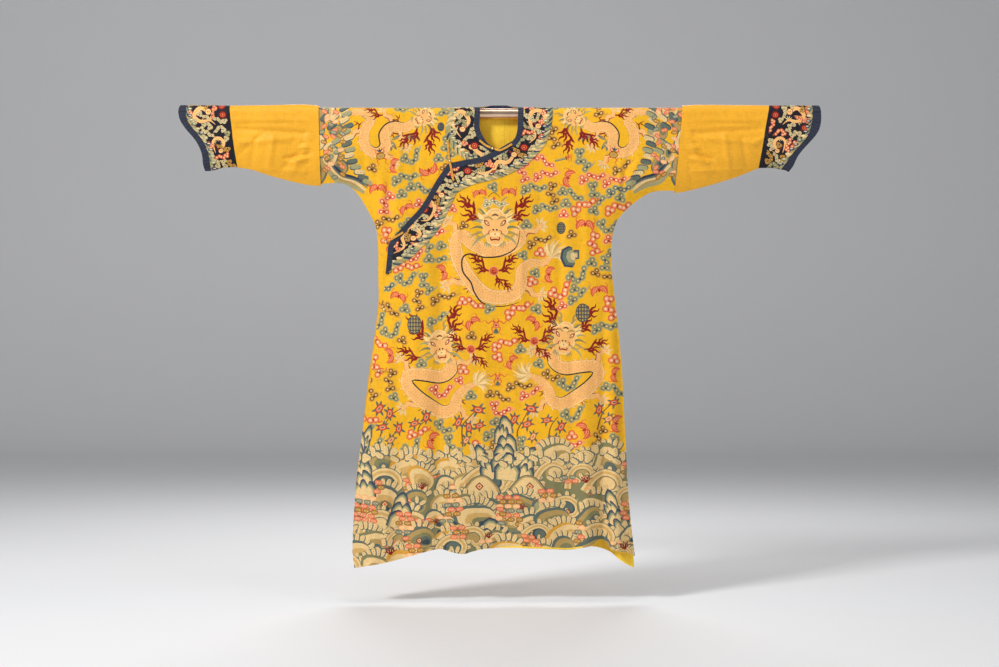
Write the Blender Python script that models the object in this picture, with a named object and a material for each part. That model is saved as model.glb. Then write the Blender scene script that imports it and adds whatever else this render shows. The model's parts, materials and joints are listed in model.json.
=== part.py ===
"""Dragon robe hung on a rod that runs through its sleeves, as closed solids.

Metres, +Z up. +X is to the right as the front is seen, and the front faces -Y. The origin
is on the rod's axis, in the middle of the neck opening. Left and right in names are the
wearer's, so the left sleeve is at +X.

A panel is cut flat in x and s: s is the way up the cloth from the level of the rod's axis.
Below zero s is a height, and above zero it runs over the rod to the shoulder line.
Every table is in millimetres.
"""

import math

import bmesh
import bpy
from mathutils import Vector
from mathutils.bvhtree import BVHTree
from mathutils.geometry import delaunay_2d_cdt

MM = 0.001

# Rod and cloth
ROD_RADIUS = 16.0
ROD_HALF_LENGTH = 950.0
ROD_SIDES = 24
WALL = 1.6
GAP = 0.3
HANG_RADIUS = 17.9
SHOULDER = HANG_RADIUS * math.pi / 2 - GAP / 2
SEAM_HALF_DEPTH = WALL / 2 + GAP / 2

# Bands and bindings that lie on the panels
BAND_WALL = 1.2
BINDING_WIDTH = 17.0
OVERLAP_LIFT = 5.6
OVERLAP_LIFT_END, OVERLAP_LIFT_RAMP = 130.0, 60.0
OVERLAP_LIFT_TOP, OVERLAP_LIFT_FULL = 10.0, -60.0
BINDING_CORNER = (5, -3)
INNER_BINDING_END, INNER_BAND_END = (1, -127), (26, -180)
NECK_HALF_WIDTH, NECK_STAND_HALF = 56.0, 20.0

# Spacing of the points in a panel, and how much the cut is squeezed where it is triangulated
STEP = 44.0
ROW_SHARE = 0.86
ROW_START = 18.0
EDGE_STEP = 34.0
BAND_STEP = 26.0
NECK_STEP = 20.0
FOLD_POINT_STEP = 66.0
DROP_SCALE = 0.62
ARC_SCALE = 2.3
HALF_SPAN, DROP = 600, 1400

# Least room between two points: on an edge, at a fold, in the panel and over the rod
EDGE_ROOM, FOLD_ROOM, PANEL_ROOM, ARC_ROOM = 7.0, 11.0, 0.62 * STEP, 9.0
FOLD_SIDES = (0, -1.15, 1.15)
NEAR = 0.01

FRONT_SEAM_X = -12.0
BACK_SEAM_X = 17.0
SHARP_ANGLE = math.radians(50)

# Outlines of the cut, as columns x, s
LEFT_SLEEVE_END = [(571, SHOULDER), (567, -20), (558, -120), (548, -238)]
LEFT_SIDE = [
    (548, -238), (519, -236), (488, -237), (462, -243), (436, -258), (404, -283), (380, -306),
    (361, -332), (349, -372), (344.8, -419), (346, -480), (356, -570), (368, -680), (378, -795),
    (384, -910), (390, -1035), (397, -1165), (406, -1265), (417, -1358),
]
FRONT_HEM = [
    (417, -1358), (396, -1347), (368, -1341), (345, -1335), (334, -1325), (324, -1309),
    (302, -1306), (288, -1318), (261, -1327), (212, -1336), (163, -1334), (64, -1330),
    (-34, -1332), (-83, -1341), (-108, -1348), (-144, -1343), (-181, -1334), (-230, -1343),
    (-279, -1358), (-328, -1371), (-378, -1380), (-442, -1392),
]
OUTER_FREE_EDGE = [
    (-442, -1392), (-449, -1330), (-445, -1230), (-436, -1110), (-420, -985), (-405, -885),
    (-391, -800), (-383, -730), (-375, -655), (-366, -605), (-354, -560), (-347, -493),
]
OVERLAP_EDGE = [
    (-347, -493), (-341, -434), (-337, -402), (-311, -368), (-278, -331), (-243, -293),
    (-220, -258), (-190, -205), (-154, -155),
]
OVERLAP_TOP = [
    (-154, -155), (-108, -145), (-69, -139), (-44, -131), (-18, -119), (7, -106), (25, -95),
    (43, -84), (54, -63), (58, -20), (58, SHOULDER),
]
RIGHT_SIDE = [
    (-556, -216), (-519, -213), (-488, -212), (-470, -217), (-450, -230), (-427, -256),
    (-402, -299), (-384, -333), (-375, -364), (-371.5, -419), (-371.5, -496), (-370, -573),
    (-378, -646), (-388, -726), (-400, -800), (-409, -880), (-421, -990), (-433, -1095),
    (-442, -1187), (-448, -1294), (-450, -1350),
]
RIGHT_SLEEVE_END = [(-556, -216), (-560, -120), (-562, -20), (-562, SHOULDER)]
INNER_NECK = [(-58, SHOULDER), (-58, 0), (-59, -45), (-49, -71), (-34, -93), (-6, -112)]
INNER_FREE_EDGE = [(-6, -112), (26, -180), (52, -300), (60, -600), (60, -1265)]
INNER_HEM = [(60, -1265), (-150, -1275), (-300, -1302), (-450, -1350)]
BACK_HEM = [
    (417, -1397), (392, -1385), (366, -1368), (344, -1350), (300, -1334), (230, -1336),
    (150, -1340), (64, -1336), (-34, -1330), (-140, -1328), (-240, -1336), (-340, -1356),
    (-450, -1378),
]
BACK_NECK = [(-562, SHOULDER), (-152, SHOULDER), (-75, SHOULDER), (75, SHOULDER), (571, SHOULDER)]

# Outer edges of the bands, from the shoulder line to the free edge
OUTER_BAND_RIM = [
    (165, SHOULDER), (165, 6), (162, -27), (152, -71), (138, -102), (109, -134), (83, -158),
    (58, -174), (20, -192), (-18, -205), (-54, -213), (-82, -221), (-108, -232), (-131, -247),
]
OUTER_BAND_DROP = [
    (-131, -247), (-142, -272), (-161, -310), (-184, -354), (-208, -384), (-237, -413),
    (-267, -442), (-308, -467), (-347, -493),
]
INNER_BAND_RIM = [
    (-151, SHOULDER), (-158, -20), (-164, -50), (-160, -78), (-146, -102), (-125, -126),
    (-96, -146), (-50, -164), (-8, -174), (26, -180),
]
BACK_BAND_RIM = [
    (165, SHOULDER), (150, -30), (112, -66), (60, -88), (6, -95), (-48, -88), (-100, -66),
    (-138, -30), (-151, SHOULDER),
]
BACK_BINDING_RIM = [
    (75, SHOULDER), (70, SHOULDER - 12), (56, SHOULDER - BINDING_WIDTH),
    (-56, SHOULDER - BINDING_WIDTH), (-70, SHOULDER - 12), (-75, SHOULDER),
]

# Folds: x at the top and bottom end, s at both, half width at both, rise outwards at both
FOLD_COLUMNS = "x_top s_top x_end s_end half_top half_end rise_top rise_end".split()
FRONT_FOLDS = [
    (-364, -170, -352, -420, 13, 12, 6, 7),
    (-338, -150, -334, -430, 14, 13, -5, -6),
    (-215, -330, -232, -1400, 30, 46, 3, 10),
    (-176, -380, -190, -1400, 22, 30, -7, -9),
    (-92, -420, -110, -1400, 34, 50, 4, 9),
    (20, -700, 16, -1400, 34, 44, -3, -8),
    (118, -760, 122, -1400, 40, 56, 3, 11),
    (187, -220, 186, -700, 13, 14, -6, -4),
    (212, -220, 216, -700, 20, 24, 5, 4),
    (262, -620, 268, -1400, 26, 27, 4, 26),
    (322, -560, 321, -1400, 17, 15, -5, -15),
    (340, -300, 366, -1400, 14, 22, 5, 20),
    (-300, -900, -292, -1400, 30, 34, -3, -9),
    (-372, -960, -384, -1400, 26, 34, 3, 14),
]
BACK_FOLDS = [
    (-300, -260, -330, -1400, 26, 34, 4, 16),
    (-236, -300, -248, -1400, 22, 26, -5, -10),
    (-150, -420, -160, -1400, 34, 46, 3, 13),
    (-40, -600, -58, -1400, 34, 40, -3, -9),
    (60, -520, 66, -1400, 34, 50, 3, 13),
    (160, -360, 176, -1400, 24, 30, -5, -10),
    (236, -300, 262, -1400, 28, 38, 5, 18),
    (318, -620, 344, -1400, 24, 28, 2, 9),
]
FOLD_FADE = 90.0
HEM_LEVEL = -1300.0
INNER_FOLDS_END = 70.0
HALF_HOLLOW = [(0, HANG_RADIUS), (-200, 20.0), (-700, 24.0), (-1400, 27.0)]
EDGE_ROUNDING, FULLNESS = 85.0, 0.8
VENT_TOP, VENT_END, VENT_HALF_GAP = -800.0, -1380.0, 5.0

# Sleeve tubes: how far across the sleeve each column lies, and where its ends are
SLEEVE_RINGS, CUFF_RINGS, BINDING_RINGS = 9, 6, 2
WAYS_DOWN = (0.03, 0.07, 0.13, 0.25, 0.4, 0.55, 0.7, 0.83, 0.92, 0.975)
SLEEVE_ROOM, SLEEVE_EDGE_HALF = 0.9, 2.4
LEFT_SLEEVE_SEAM = [(0, 562), (0.1, 561), (1, 539)]
LEFT_CUFF_SEAM = [(0, 829), (0.3, 818), (0.7, 806), (1, 797)]
LEFT_CUFF_LINE = [
    (0, 960), (0.22, 959), (0.42, 948), (0.55, 928), (0.66, 907), (0.76, 893), (0.88, 881), (1, 866),
]
LEFT_CUFF_EDGE = [
    (0, 982), (0.1, 986), (0.28, 985), (0.42, 973), (0.55, 950), (0.66, 929), (0.76, 914),
    (0.88, 903), (1, 890),
]
RIGHT_SLEEVE_SEAM = [(0, -553), (1, -547)]
RIGHT_CUFF_SEAM = [(0, -826), (0.3, -820), (0.7, -811), (1, -803)]
RIGHT_CUFF_LINE = [
    (0, -958), (0.22, -955), (0.4, -930), (0.52, -910), (0.64, -897), (0.78, -889), (0.9, -886), (1, -884),
]
RIGHT_CUFF_EDGE = [
    (0, -978), (0.1, -982), (0.24, -976), (0.38, -957), (0.5, -936), (0.62, -920), (0.76, -910),
    (0.9, -908), (1, -903),
]
# Top and bottom of a sleeve along x, as columns x, top, bottom
LEFT_SLEEVE_RUN = [
    (535, 21.5, -243), (560, 24, -241), (600, 27, -232), (660, 27, -216), (730, 26, -194),
    (800, 25.5, -166), (840, 25, -166), (880, 25, -173), (900, 25, -184), (990, 25, -187),
]
RIGHT_SLEEVE_RUN = [
    (-535, 21.5, -221), (-560, 25, -221), (-590, 28, -218), (-640, 27.5, -207), (-700, 26, -191),
    (-760, 25, -171), (-810, 24.5, -163), (-850, 25, -165), (-880, 25.5, -175), (-990, 26, -178),
]

# Fastenings: two ends of the cord and the button, as columns x, z
TOGGLES = {
    "neck": [(-60, -84), (-42, -98), (-20, -109), (6, -114), (40, -96)],
    "corner": [(-157, -83), (-154, -124), (-151, -148), (-146, -172), (-139, -208)],
    "side": [(-374, -366), (-359, -376), (-346, -394), (-324, -384), (-293, -366)],
    "hip": [(-370, -578), (-364, -591), (-352, -601), (-341, -603), (-322, -606)],
    "vent": [(-383, -786), (-376, -790), (-367, -789), (-356, -788), (-336, -790)],
}
CORD_RADIUS = 1.7
BUTTON_RADIUS = 4.2
CORD_STEPS, CORD_BEVEL = 12, 2
BUTTON_SEGMENTS, BUTTON_RINGS = 12, 8
FASTENING_LIFT, BUTTON_REACH = 0.4, 2.0
RAYS, RAY_START = 8, -0.3

COLOURS = {
    "silk": (0.80, 0.52, 0.05, 0.0, 0.55),
    "plain": (0.82, 0.50, 0.08, 0.0, 0.45),
    "navy": (0.03, 0.04, 0.10, 0.0, 0.7),
    "binding": (0.03, 0.05, 0.14, 0.0, 0.6),
    "cord": (0.70, 0.42, 0.03, 0.0, 0.6),
    "button": (0.85, 0.78, 0.62, 1.0, 0.3),
    "rod": (0.80, 0.74, 0.66, 1.0, 0.25),
}


def smooth(low, high, value):
    """0 at low and 1 at high and beyond, with a soft turn at both; low may be the larger one."""
    share = min(1.0, max(0.0, (value - low) / (high - low)))
    return share * share * (3 - 2 * share)


def along(table, value, column=1):
    """A column of a table at this value of its first column, in straight steps."""
    rows = sorted(table)
    if value <= rows[0][0]:
        return rows[0][column]
    for low, high in zip(rows, rows[1:]):
        if value <= high[0]:
            share = (value - low[0]) / (high[0] - low[0])
            return low[column] + (high[column] - low[column]) * share
    return rows[-1][column]


def curve(points, step=EDGE_STEP):
    """Points about a step apart on a smooth curve through these points, both ends kept."""
    ends = [points[0], *points, points[-1]]
    dense = []
    for a, b, c, d in zip(ends, ends[1:], ends[2:], ends[3:]):
        for share in (0, 0.25, 0.5, 0.75):
            weights = (
                (-share**3 + 2 * share**2 - share) / 2,
                (3 * share**3 - 5 * share**2 + 2) / 2,
                (-3 * share**3 + 4 * share**2 + share) / 2,
                (share**3 - share**2) / 2,
            )
            dense.append(
                tuple(sum(w * p[i] for w, p in zip(weights, (a, b, c, d))) for i in (0, 1))
            )
    dense.append(points[-1])
    lengths = [0.0]
    for a, b in zip(dense, dense[1:]):
        lengths.append(lengths[-1] + math.dist(a, b))
    count = max(1, round(lengths[-1] / step))
    table = [(length, *point) for length, point in zip(lengths, dense)]
    places = [lengths[-1] * i / count for i in range(count + 1)]
    return [(along(table, place), along(table, place, 2)) for place in places]


ARC_ROWS = [SHOULDER * share / 3 for share in (2, 1, 0)]


def with_rows(line):
    """The line with a point wherever it crosses a row of the turn over the rod."""
    result = [line[0]]
    for a, b in zip(line, line[1:]):
        rows = ARC_ROWS if b[1] < a[1] else reversed(ARC_ROWS)
        for row in rows:
            if (a[1] - row) * (b[1] - row) < 0:
                result.append((a[0] + (b[0] - a[0]) * (row - a[1]) / (b[1] - a[1]), row))
        result.append(b)
    kept = result[:1]
    for point in result[1:-1]:
        on_row = any(abs(point[1] - row) < NEAR for row in ARC_ROWS)
        if on_row or min(math.dist(point, near) for near in (kept[-1], result[-1])) > EDGE_ROOM:
            kept.append(point)
    return kept + result[-1:]


def moved_aside(points, distance):
    """The line moved to its left by a distance, with mitred corners."""
    result = []
    for i, point in enumerate(points):
        before = Vector(points[max(i - 1, 0)])
        after = Vector(points[min(i + 1, len(points) - 1)])
        way = (after - before).normalized()
        result.append((point[0] - way.y * distance, point[1] + way.x * distance))
    return result


def inside(polygon, point):
    """True if the point lies in the polygon."""
    odd = False
    for (ax, ay), (bx, by) in zip(polygon, polygon[1:] + polygon[:1]):
        if (ay > point[1]) != (by > point[1]):
            if point[0] < (bx - ax) * (point[1] - ay) / (by - ay) + ax:
                odd = not odd
    return odd


def distance_to(line, x, s):
    """Shortest distance from the point to the line."""
    best = math.inf
    for (ax, ay), (bx, by) in zip(line, line[1:]):
        dx, dy = bx - ax, by - ay
        share = ((x - ax) * dx + (s - ay) * dy) / (dx * dx + dy * dy)
        share = min(1.0, max(0.0, share))
        best = min(best, math.hypot(x - ax - share * dx, s - ay - share * dy))
    return best


LEFT_EDGE, RIGHT_EDGE = curve(LEFT_SIDE), curve(RIGHT_SIDE)


def fold_rise(folds, x, s):
    """How far the folds push the cloth out at this place."""
    rise = 0.0
    for row in folds:
        fold = dict(zip(FOLD_COLUMNS, row))
        share = (s - fold["s_top"]) / (fold["s_end"] - fold["s_top"])
        if share <= 0 or share >= 1:
            continue
        centre = fold["x_top"] + (fold["x_end"] - fold["x_top"]) * share
        half = fold["half_top"] + (fold["half_end"] - fold["half_top"]) * share
        height = fold["rise_top"] + (fold["rise_end"] - fold["rise_top"]) * share
        height *= smooth(0, FOLD_FADE, fold["s_top"] - s)
        height *= smooth(0, FOLD_FADE, s - fold["s_end"]) if fold["s_end"] > HEM_LEVEL else 1
        rise += height * math.exp(-(((x - centre) / half) ** 2))
    return rise


def depth(folds, x, s):
    """Distance of a panel's middle from the plane of the rod's axis, below the rod."""
    edge = min(distance_to(LEFT_EDGE, x, s), distance_to(RIGHT_EDGE, x, s))
    belly = math.sin(min(1.0, edge / EDGE_ROUNDING) * math.pi / 2) ** FULLNESS
    rim = SEAM_HALF_DEPTH + VENT_HALF_GAP * smooth(0, 1, (VENT_TOP - s) / (VENT_TOP - VENT_END))
    hollow = along(HALF_HOLLOW, s)
    return rim + (hollow - rim + fold_rise(folds, x, s)) * belly


def over_rod(s):
    """Height and depth of the cloth where it runs over the rod."""
    turn = s / HANG_RADIUS
    return HANG_RADIUS * math.sin(turn), HANG_RADIUS * math.cos(turn)


def on_inner_front(x, s):
    if s > 0:
        height, out = over_rod(s)
        return Vector((x, -out, height))
    return Vector((x, -depth(FRONT_FOLDS, x, s), s))


def on_outer_front(x, s):
    """The outer front lies over the inner one as far as the inner one's free edge."""
    point = on_inner_front(x, s)
    lift = OVERLAP_LIFT * smooth(OVERLAP_LIFT_END, OVERLAP_LIFT_END - OVERLAP_LIFT_RAMP, x)
    point.y -= lift * smooth(OVERLAP_LIFT_TOP, OVERLAP_LIFT_FULL, s)
    return point


def on_back(x, s):
    """The back's neck edge stands up behind the rod."""
    if s <= 0:
        return Vector((x, depth(BACK_FOLDS, x, s), s))
    height, out = over_rod(s)
    stand = 1 - smooth(NECK_STAND_HALF, NECK_HALF_WIDTH, abs(x))
    return Vector((x, out + (HANG_RADIUS - out) * stand, height + (s - height) * stand))


def squeezed(point):
    x, s = point
    return Vector((x, s * (ARC_SCALE if s > 0 else DROP_SCALE)))


def stretched(point):
    return (point[0], point[1] / (ARC_SCALE if point[1] > 0 else DROP_SCALE))


def triangulated(outline, lines, folds):
    """Points x, s and triangles of a panel: its outline, lines that edges follow, and folds."""
    points, edges = [], []

    def add(line, closed=False):
        first = len(points)
        points.extend(squeezed(p) for p in line)
        last = len(points) - 1
        edges.extend((i, i + 1) for i in range(first, last))
        if closed:
            edges.append((last, first))

    add(outline, closed=True)
    for line in lines:
        add(with_rows(line))
    border = [squeezed(p) for p in outline]
    taken = list(points)

    def far_enough(point, least):
        return all((point - other).length > least for other in taken)

    def offer(point, least):
        if inside([tuple(p) for p in border], point) and far_enough(point, least):
            points.append(point)
            taken.append(point)

    for row in folds:
        fold = dict(zip(FOLD_COLUMNS, row))
        count = round((fold["s_top"] - fold["s_end"]) / FOLD_POINT_STEP)
        for i in range(count + 1):
            share = i / count
            s = fold["s_top"] + (fold["s_end"] - fold["s_top"]) * share
            centre = fold["x_top"] + (fold["x_end"] - fold["x_top"]) * share
            half = fold["half_top"] + (fold["half_end"] - fold["half_top"]) * share
            for side in FOLD_SIDES:
                offer(squeezed((centre + side * half, s)), FOLD_ROOM)
    columns = range(int(-HALF_SPAN / STEP), int(HALF_SPAN / STEP) + 1)
    for i in columns:
        for j in range(-3, int(DROP * DROP_SCALE / STEP) + 1):
            offer(Vector((i * STEP, -j * STEP * ROW_SHARE + ROW_START)), PANEL_ROOM)
    for row_height in (0.0, SHOULDER / 3, SHOULDER * 2 / 3):
        for i in columns:
            offer(squeezed((i * STEP, row_height)), ARC_ROOM)
    flat, _, faces, *_ = delaunay_2d_cdt(points, edges, [], 1, NEAR)
    return [stretched(p) for p in flat], [tuple(face) for face in faces]


def normals_of(places, faces):
    """Unit normals at the points, weighted by the area of the faces round each."""
    normals = [Vector() for _ in places]
    for a, b, c in faces:
        across = (places[b] - places[a]).cross(places[c] - places[a])
        for i in (a, b, c):
            normals[i] += across
    return [n.normalized() for n in normals]


def rim_of(faces):
    """Directed edges that only one face has, as {start: end}."""
    edges = {(a, b) for f in faces for a, b in zip(f, f[1:] + f[:1])}
    return {a: b for a, b in edges if (b, a) not in edges}


def pulled_in(flat, faces, distance):
    """The flat points, with those on the rim of these faces moved into them."""
    after = rim_of(faces)
    before = {b: a for a, b in after.items()}
    result = list(flat)
    for i, following in after.items():
        way_in = Vector((0, 0))
        for a, b in ((before[i], i), (i, following)):
            way = (Vector(flat[b]) - Vector(flat[a])).normalized()
            way_in += Vector((-way.y, way.x))
        way_in.normalize()
        result[i] = (flat[i][0] + way_in.x * distance, flat[i][1] + way_in.y * distance)
    return result


def material(name):
    made = bpy.data.materials.get(name) or bpy.data.materials.new(name)
    made.use_nodes = True
    red, green, blue, metallic, roughness = COLOURS[name]
    shader = made.node_tree.nodes["Principled BSDF"]
    shader.inputs["Base Color"].default_value = (red, green, blue, 1)
    shader.inputs["Metallic"].default_value = metallic
    shader.inputs["Roughness"].default_value = roughness
    return made


def add_object(name, mesh, colour):
    made = bpy.data.objects.new(name, mesh)
    bpy.context.scene.collection.objects.link(made)
    mesh.materials.append(material(colour))
    return made


def walled(name, colour, places, normals, faces, low, high):
    """A closed wall over these faces, from low to high along the normals."""
    used = sorted({i for face in faces for i in face})
    top = {old: new for new, old in enumerate(used)}
    count = len(used)
    points = [(places[i] + normals[i] * high) * MM for i in used]
    points += [(places[i] + normals[i] * low) * MM for i in used]
    sides = [tuple(top[i] for i in face) for face in faces]
    solid = sides + [tuple(i + count for i in reversed(face)) for face in sides]
    for a, b in rim_of(sides).items():
        solid += [(b, a, a + count), (b, a + count, b + count)]
    mesh = bpy.data.meshes.new(name)
    mesh.from_pydata(points, [], solid)
    mesh.shade_smooth()
    mesh.set_sharp_from_angle(angle=SHARP_ANGLE)
    add_object(name, mesh, colour)


class Panel:
    """A cut panel on its surface, and the pieces made from its points."""

    def __init__(self, outline, lines, folds, surface, facing):
        self.surface = surface
        self.flat, self.faces = triangulated(with_rows(outline + outline[:1])[:-1], lines, folds)
        places = [surface(*p) for p in self.flat]
        a, b, c = self.faces[0]
        across = (places[b] - places[a]).cross(places[c] - places[a])
        self.turned = across.y * facing < 0
        if self.turned:
            self.faces = [tuple(reversed(face)) for face in self.faces]
        self.normals = normals_of(places, self.faces)
        for i, (x, s) in enumerate(self.flat):
            if s > SHOULDER - NEAR and (facing < 0 or abs(x) > NECK_HALF_WIDTH):
                self.normals[i] = Vector((0, 0, 1))

    def piece(self, name, colour, wanted, wall=WALL, on_top=False):
        """The faces whose middle is wanted, as a wall of its own, in the panel or on top of it."""
        chosen = []
        for face in self.faces:
            middle = [sum(self.flat[i][k] for i in face) / 3 for k in (0, 1)]
            if wanted(*middle):
                chosen.append(face)
        turn = -1 if self.turned else 1
        flat = pulled_in(self.flat, chosen, GAP / 2 * turn)
        places = [self.surface(*p) for p in flat]
        low = WALL / 2 + GAP if on_top else -wall / 2
        walled(name, colour, places, self.normals, chosen, low, low + wall)


def vertical(x, line_a, line_b):
    """Points of a seam at this x between two border lines, from the upper to the lower one."""
    ends = []
    for line in (line_a, line_b):
        for (ax, ay), (bx, by) in zip(line, line[1:]):
            if (ax - x) * (bx - x) <= 0 and ax != bx:
                ends.append(ay + (by - ay) * (x - ax) / (bx - ax))
                break
    count = round(abs(ends[0] - ends[1]) / (STEP / DROP_SCALE))
    return [(x, ends[0] + (ends[1] - ends[0]) * i / count) for i in range(count + 1)]


def with_point(line, x):
    """The line with a point of its own at this x, so that a seam can start there."""
    result = []
    for a, b in zip(line, line[1:]):
        result.append(a)
        if (a[0] - x) * (b[0] - x) < 0:
            result.append((x, a[1] + (b[1] - a[1]) * (x - a[0]) / (b[0] - a[0])))
    return result + [line[-1]]


def make_outer_front():
    """Left front and the overlap, with the band and the binding along its edge."""
    hem = with_point(curve(FRONT_HEM), FRONT_SEAM_X)
    top = with_point(curve(OVERLAP_TOP, BAND_STEP), FRONT_SEAM_X)
    drop = curve(OVERLAP_EDGE, BAND_STEP)
    shoulder = [(58, SHOULDER), (75, SHOULDER), (120, SHOULDER), (165, SHOULDER)]
    shoulder += curve([(165, SHOULDER), (571, SHOULDER)], STEP)[1:]
    outline = (
        shoulder[:-1] + curve(LEFT_SLEEVE_END)[:-1] + curve(LEFT_SIDE)[:-1] + hem[:-1]
        + curve(OUTER_FREE_EDGE)[:-1] + drop[:-1] + top[:-1]
    )
    band_edge = curve(OUTER_BAND_RIM, BAND_STEP)[:-1] + curve(OUTER_BAND_DROP, BAND_STEP)
    band_edge = with_point(band_edge, FRONT_SEAM_X)
    edge = drop[:-1] + top
    binding_edge = moved_aside(edge, -BINDING_WIDTH)
    binding_edge[0] = (edge[0][0] + BINDING_CORNER[0], edge[0][1] + BINDING_CORNER[1])
    binding_edge[-1] = (75, SHOULDER)
    binding_edge = with_point(binding_edge, FRONT_SEAM_X)
    seam = vertical(FRONT_SEAM_X, top, hem)
    panel = Panel(outline, [band_edge, binding_edge, seam], FRONT_FOLDS, on_outer_front, -1)
    panel.piece("front_left", "silk", lambda x, s: x > FRONT_SEAM_X)
    panel.piece("front_overlap", "silk", lambda x, s: x < FRONT_SEAM_X)
    band = binding_edge + band_edge[:-1]
    binding = edge + list(reversed(binding_edge))
    panel.piece("neckband_outer", "navy", lambda x, s: inside(band, (x, s)), BAND_WALL, True)
    panel.piece("neck_binding_outer", "binding", lambda x, s: inside(binding, (x, s)), WALL, True)


def make_inner_front():
    """Right front, which runs on under the overlap."""
    neck = curve(INNER_NECK, BAND_STEP)
    free = curve(INNER_FREE_EDGE)
    shoulder = curve([(-562, SHOULDER), (-151, SHOULDER)], STEP)
    shoulder += [(-112, SHOULDER), (-75, SHOULDER), (-58, SHOULDER)]
    outline = (
        shoulder[:-1] + neck[:-1] + free[:-1] + curve(INNER_HEM)[:-1]
        + list(reversed(RIGHT_EDGE))[:-1] + curve(RIGHT_SLEEVE_END)[:-1]
    )
    binding_edge = moved_aside(neck, -BINDING_WIDTH)
    binding_edge[0] = (-75, SHOULDER)
    binding_edge[-1] = INNER_BINDING_END
    rim = curve(INNER_BAND_RIM, BAND_STEP)
    seen_folds = [row for row in FRONT_FOLDS if row[0] < INNER_FOLDS_END]
    panel = Panel(outline, [binding_edge, rim], seen_folds, on_inner_front, -1)
    panel.piece("front_inner", "silk", lambda x, s: True)
    band = binding_edge + [INNER_BAND_END] + list(reversed(rim))
    binding = neck + list(reversed(binding_edge))
    panel.piece("neckband_inner", "navy", lambda x, s: inside(band, (x, s)), BAND_WALL, True)
    panel.piece("neck_binding_inner", "binding", lambda x, s: inside(binding, (x, s)), WALL, True)


def make_back():
    """Both halves of the back, with the band and the binding behind the neck."""
    hem = with_point(curve(BACK_HEM), BACK_SEAM_X)
    top = []
    for a, b in zip(BACK_NECK, BACK_NECK[1:]):
        at_neck = max(abs(a[0]), abs(b[0])) < 160
        top += curve([a, b], BAND_STEP if at_neck else STEP)[:-1]
    top = with_point(top + [BACK_NECK[-1]], BACK_SEAM_X)
    top = with_point(with_point(top, 165), 0)
    left = curve(LEFT_SIDE[:-1] + [(417, -1397)])
    right = curve(RIGHT_SIDE[:-1] + [(-450, -1378)])
    outline = (
        top[:-1] + curve(LEFT_SLEEVE_END)[:-1] + left[:-1] + hem[:-1]
        + list(reversed(right))[:-1] + curve(RIGHT_SLEEVE_END)[:-1]
    )
    rim = with_point(curve(BACK_BAND_RIM, BAND_STEP), BACK_SEAM_X)
    binding_edge = with_point(curve(BACK_BINDING_RIM, NECK_STEP), BACK_SEAM_X)
    seam = vertical(BACK_SEAM_X, top, hem)
    panel = Panel(outline, [rim, binding_edge, seam], BACK_FOLDS, on_back, 1)
    panel.piece("back_left", "silk", lambda x, s: x > BACK_SEAM_X)
    panel.piece("back_right", "silk", lambda x, s: x < BACK_SEAM_X)

    def in_binding(x, s):
        return inside(binding_edge, (x, s))

    def in_band(x, s):
        return inside(rim, (x, s)) and not in_binding(x, s)

    panel.piece("neckband_back", "navy", in_band, BAND_WALL, True)
    panel.piece("neck_binding_back", "binding", in_binding, WALL, True)


def sleeve_loop():
    """Places round a sleeve from its top, as columns: way down from 0 to 1, side."""
    front = [(down, -1) for down in WAYS_DOWN]
    return [(0.0, 0), *front, (1.0, 0)] + [(down, 1) for down in reversed(WAYS_DOWN)]


def sleeve_half_depth(down, top, bottom):
    """Half the sleeve's thickness: an ellipse over the rod, then the body's own roundness."""
    height = top + (bottom - top) * down
    widest = HANG_RADIUS + WALL + SLEEVE_ROOM
    if height > 0:
        return widest * math.sqrt(max(0.0, 1 - (height / top) ** 2))
    way_up = min(1.0, (height - bottom) / EDGE_ROUNDING)
    if way_up <= 0:
        return 0.0
    swell = along(HALF_HOLLOW, height) - HANG_RADIUS
    fullest = widest + swell - SLEEVE_EDGE_HALF
    return SLEEVE_EDGE_HALF + fullest * math.sin(way_up * math.pi / 2) ** FULLNESS


def make_tube(name, colour, run, start, end, rings, wall=WALL):
    """A sleeve's tube between two seams, given as tables of x against the way down."""
    loop = sleeve_loop()
    middle_points, faces = [], []
    for ring in range(rings + 1):
        share = ring / rings
        for down, side in loop:
            x = along(start, down) + (along(end, down) - along(start, down)) * share
            top, bottom = along(run, x), along(run, x, 2)
            out = sleeve_half_depth(down, top, bottom)
            middle_points.append(Vector((x, side * out, top + (bottom - top) * down)))
    count = len(loop)
    for ring in range(rings):
        for i in range(count):
            a, b = ring * count + i, ring * count + (i + 1) % count
            faces += [(a, b, b + count), (a, b + count, a + count)]
    normals = normals_of(middle_points, faces)
    if normals[0].z < 0:
        faces = [tuple(reversed(face)) for face in faces]
        normals = [-n for n in normals]
    normals = [Vector((0, n.y, n.z)).normalized() for n in normals]
    made = bpy.data.meshes.new(name)
    total = len(middle_points)
    points = [(p + n * wall / 2) * MM for p, n in zip(middle_points, normals)]
    points += [(p - n * wall / 2) * MM for p, n in zip(middle_points, normals)]
    solid = list(faces) + [tuple(i + total for i in reversed(face)) for face in faces]
    edges = {(a, b) for f in faces for a, b in zip(f, f[1:] + f[:1])}
    for a, b in sorted(edges):
        if (b, a) not in edges:
            solid += [(b, a, a + total), (b, a + total, b + total)]
    made.from_pydata(points, [], solid)
    made.shade_smooth()
    made.set_sharp_from_angle(angle=SHARP_ANGLE)
    add_object(name, made, colour)


def shifted(table, distance):
    return [(down, x + distance) for down, x in table]


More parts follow.
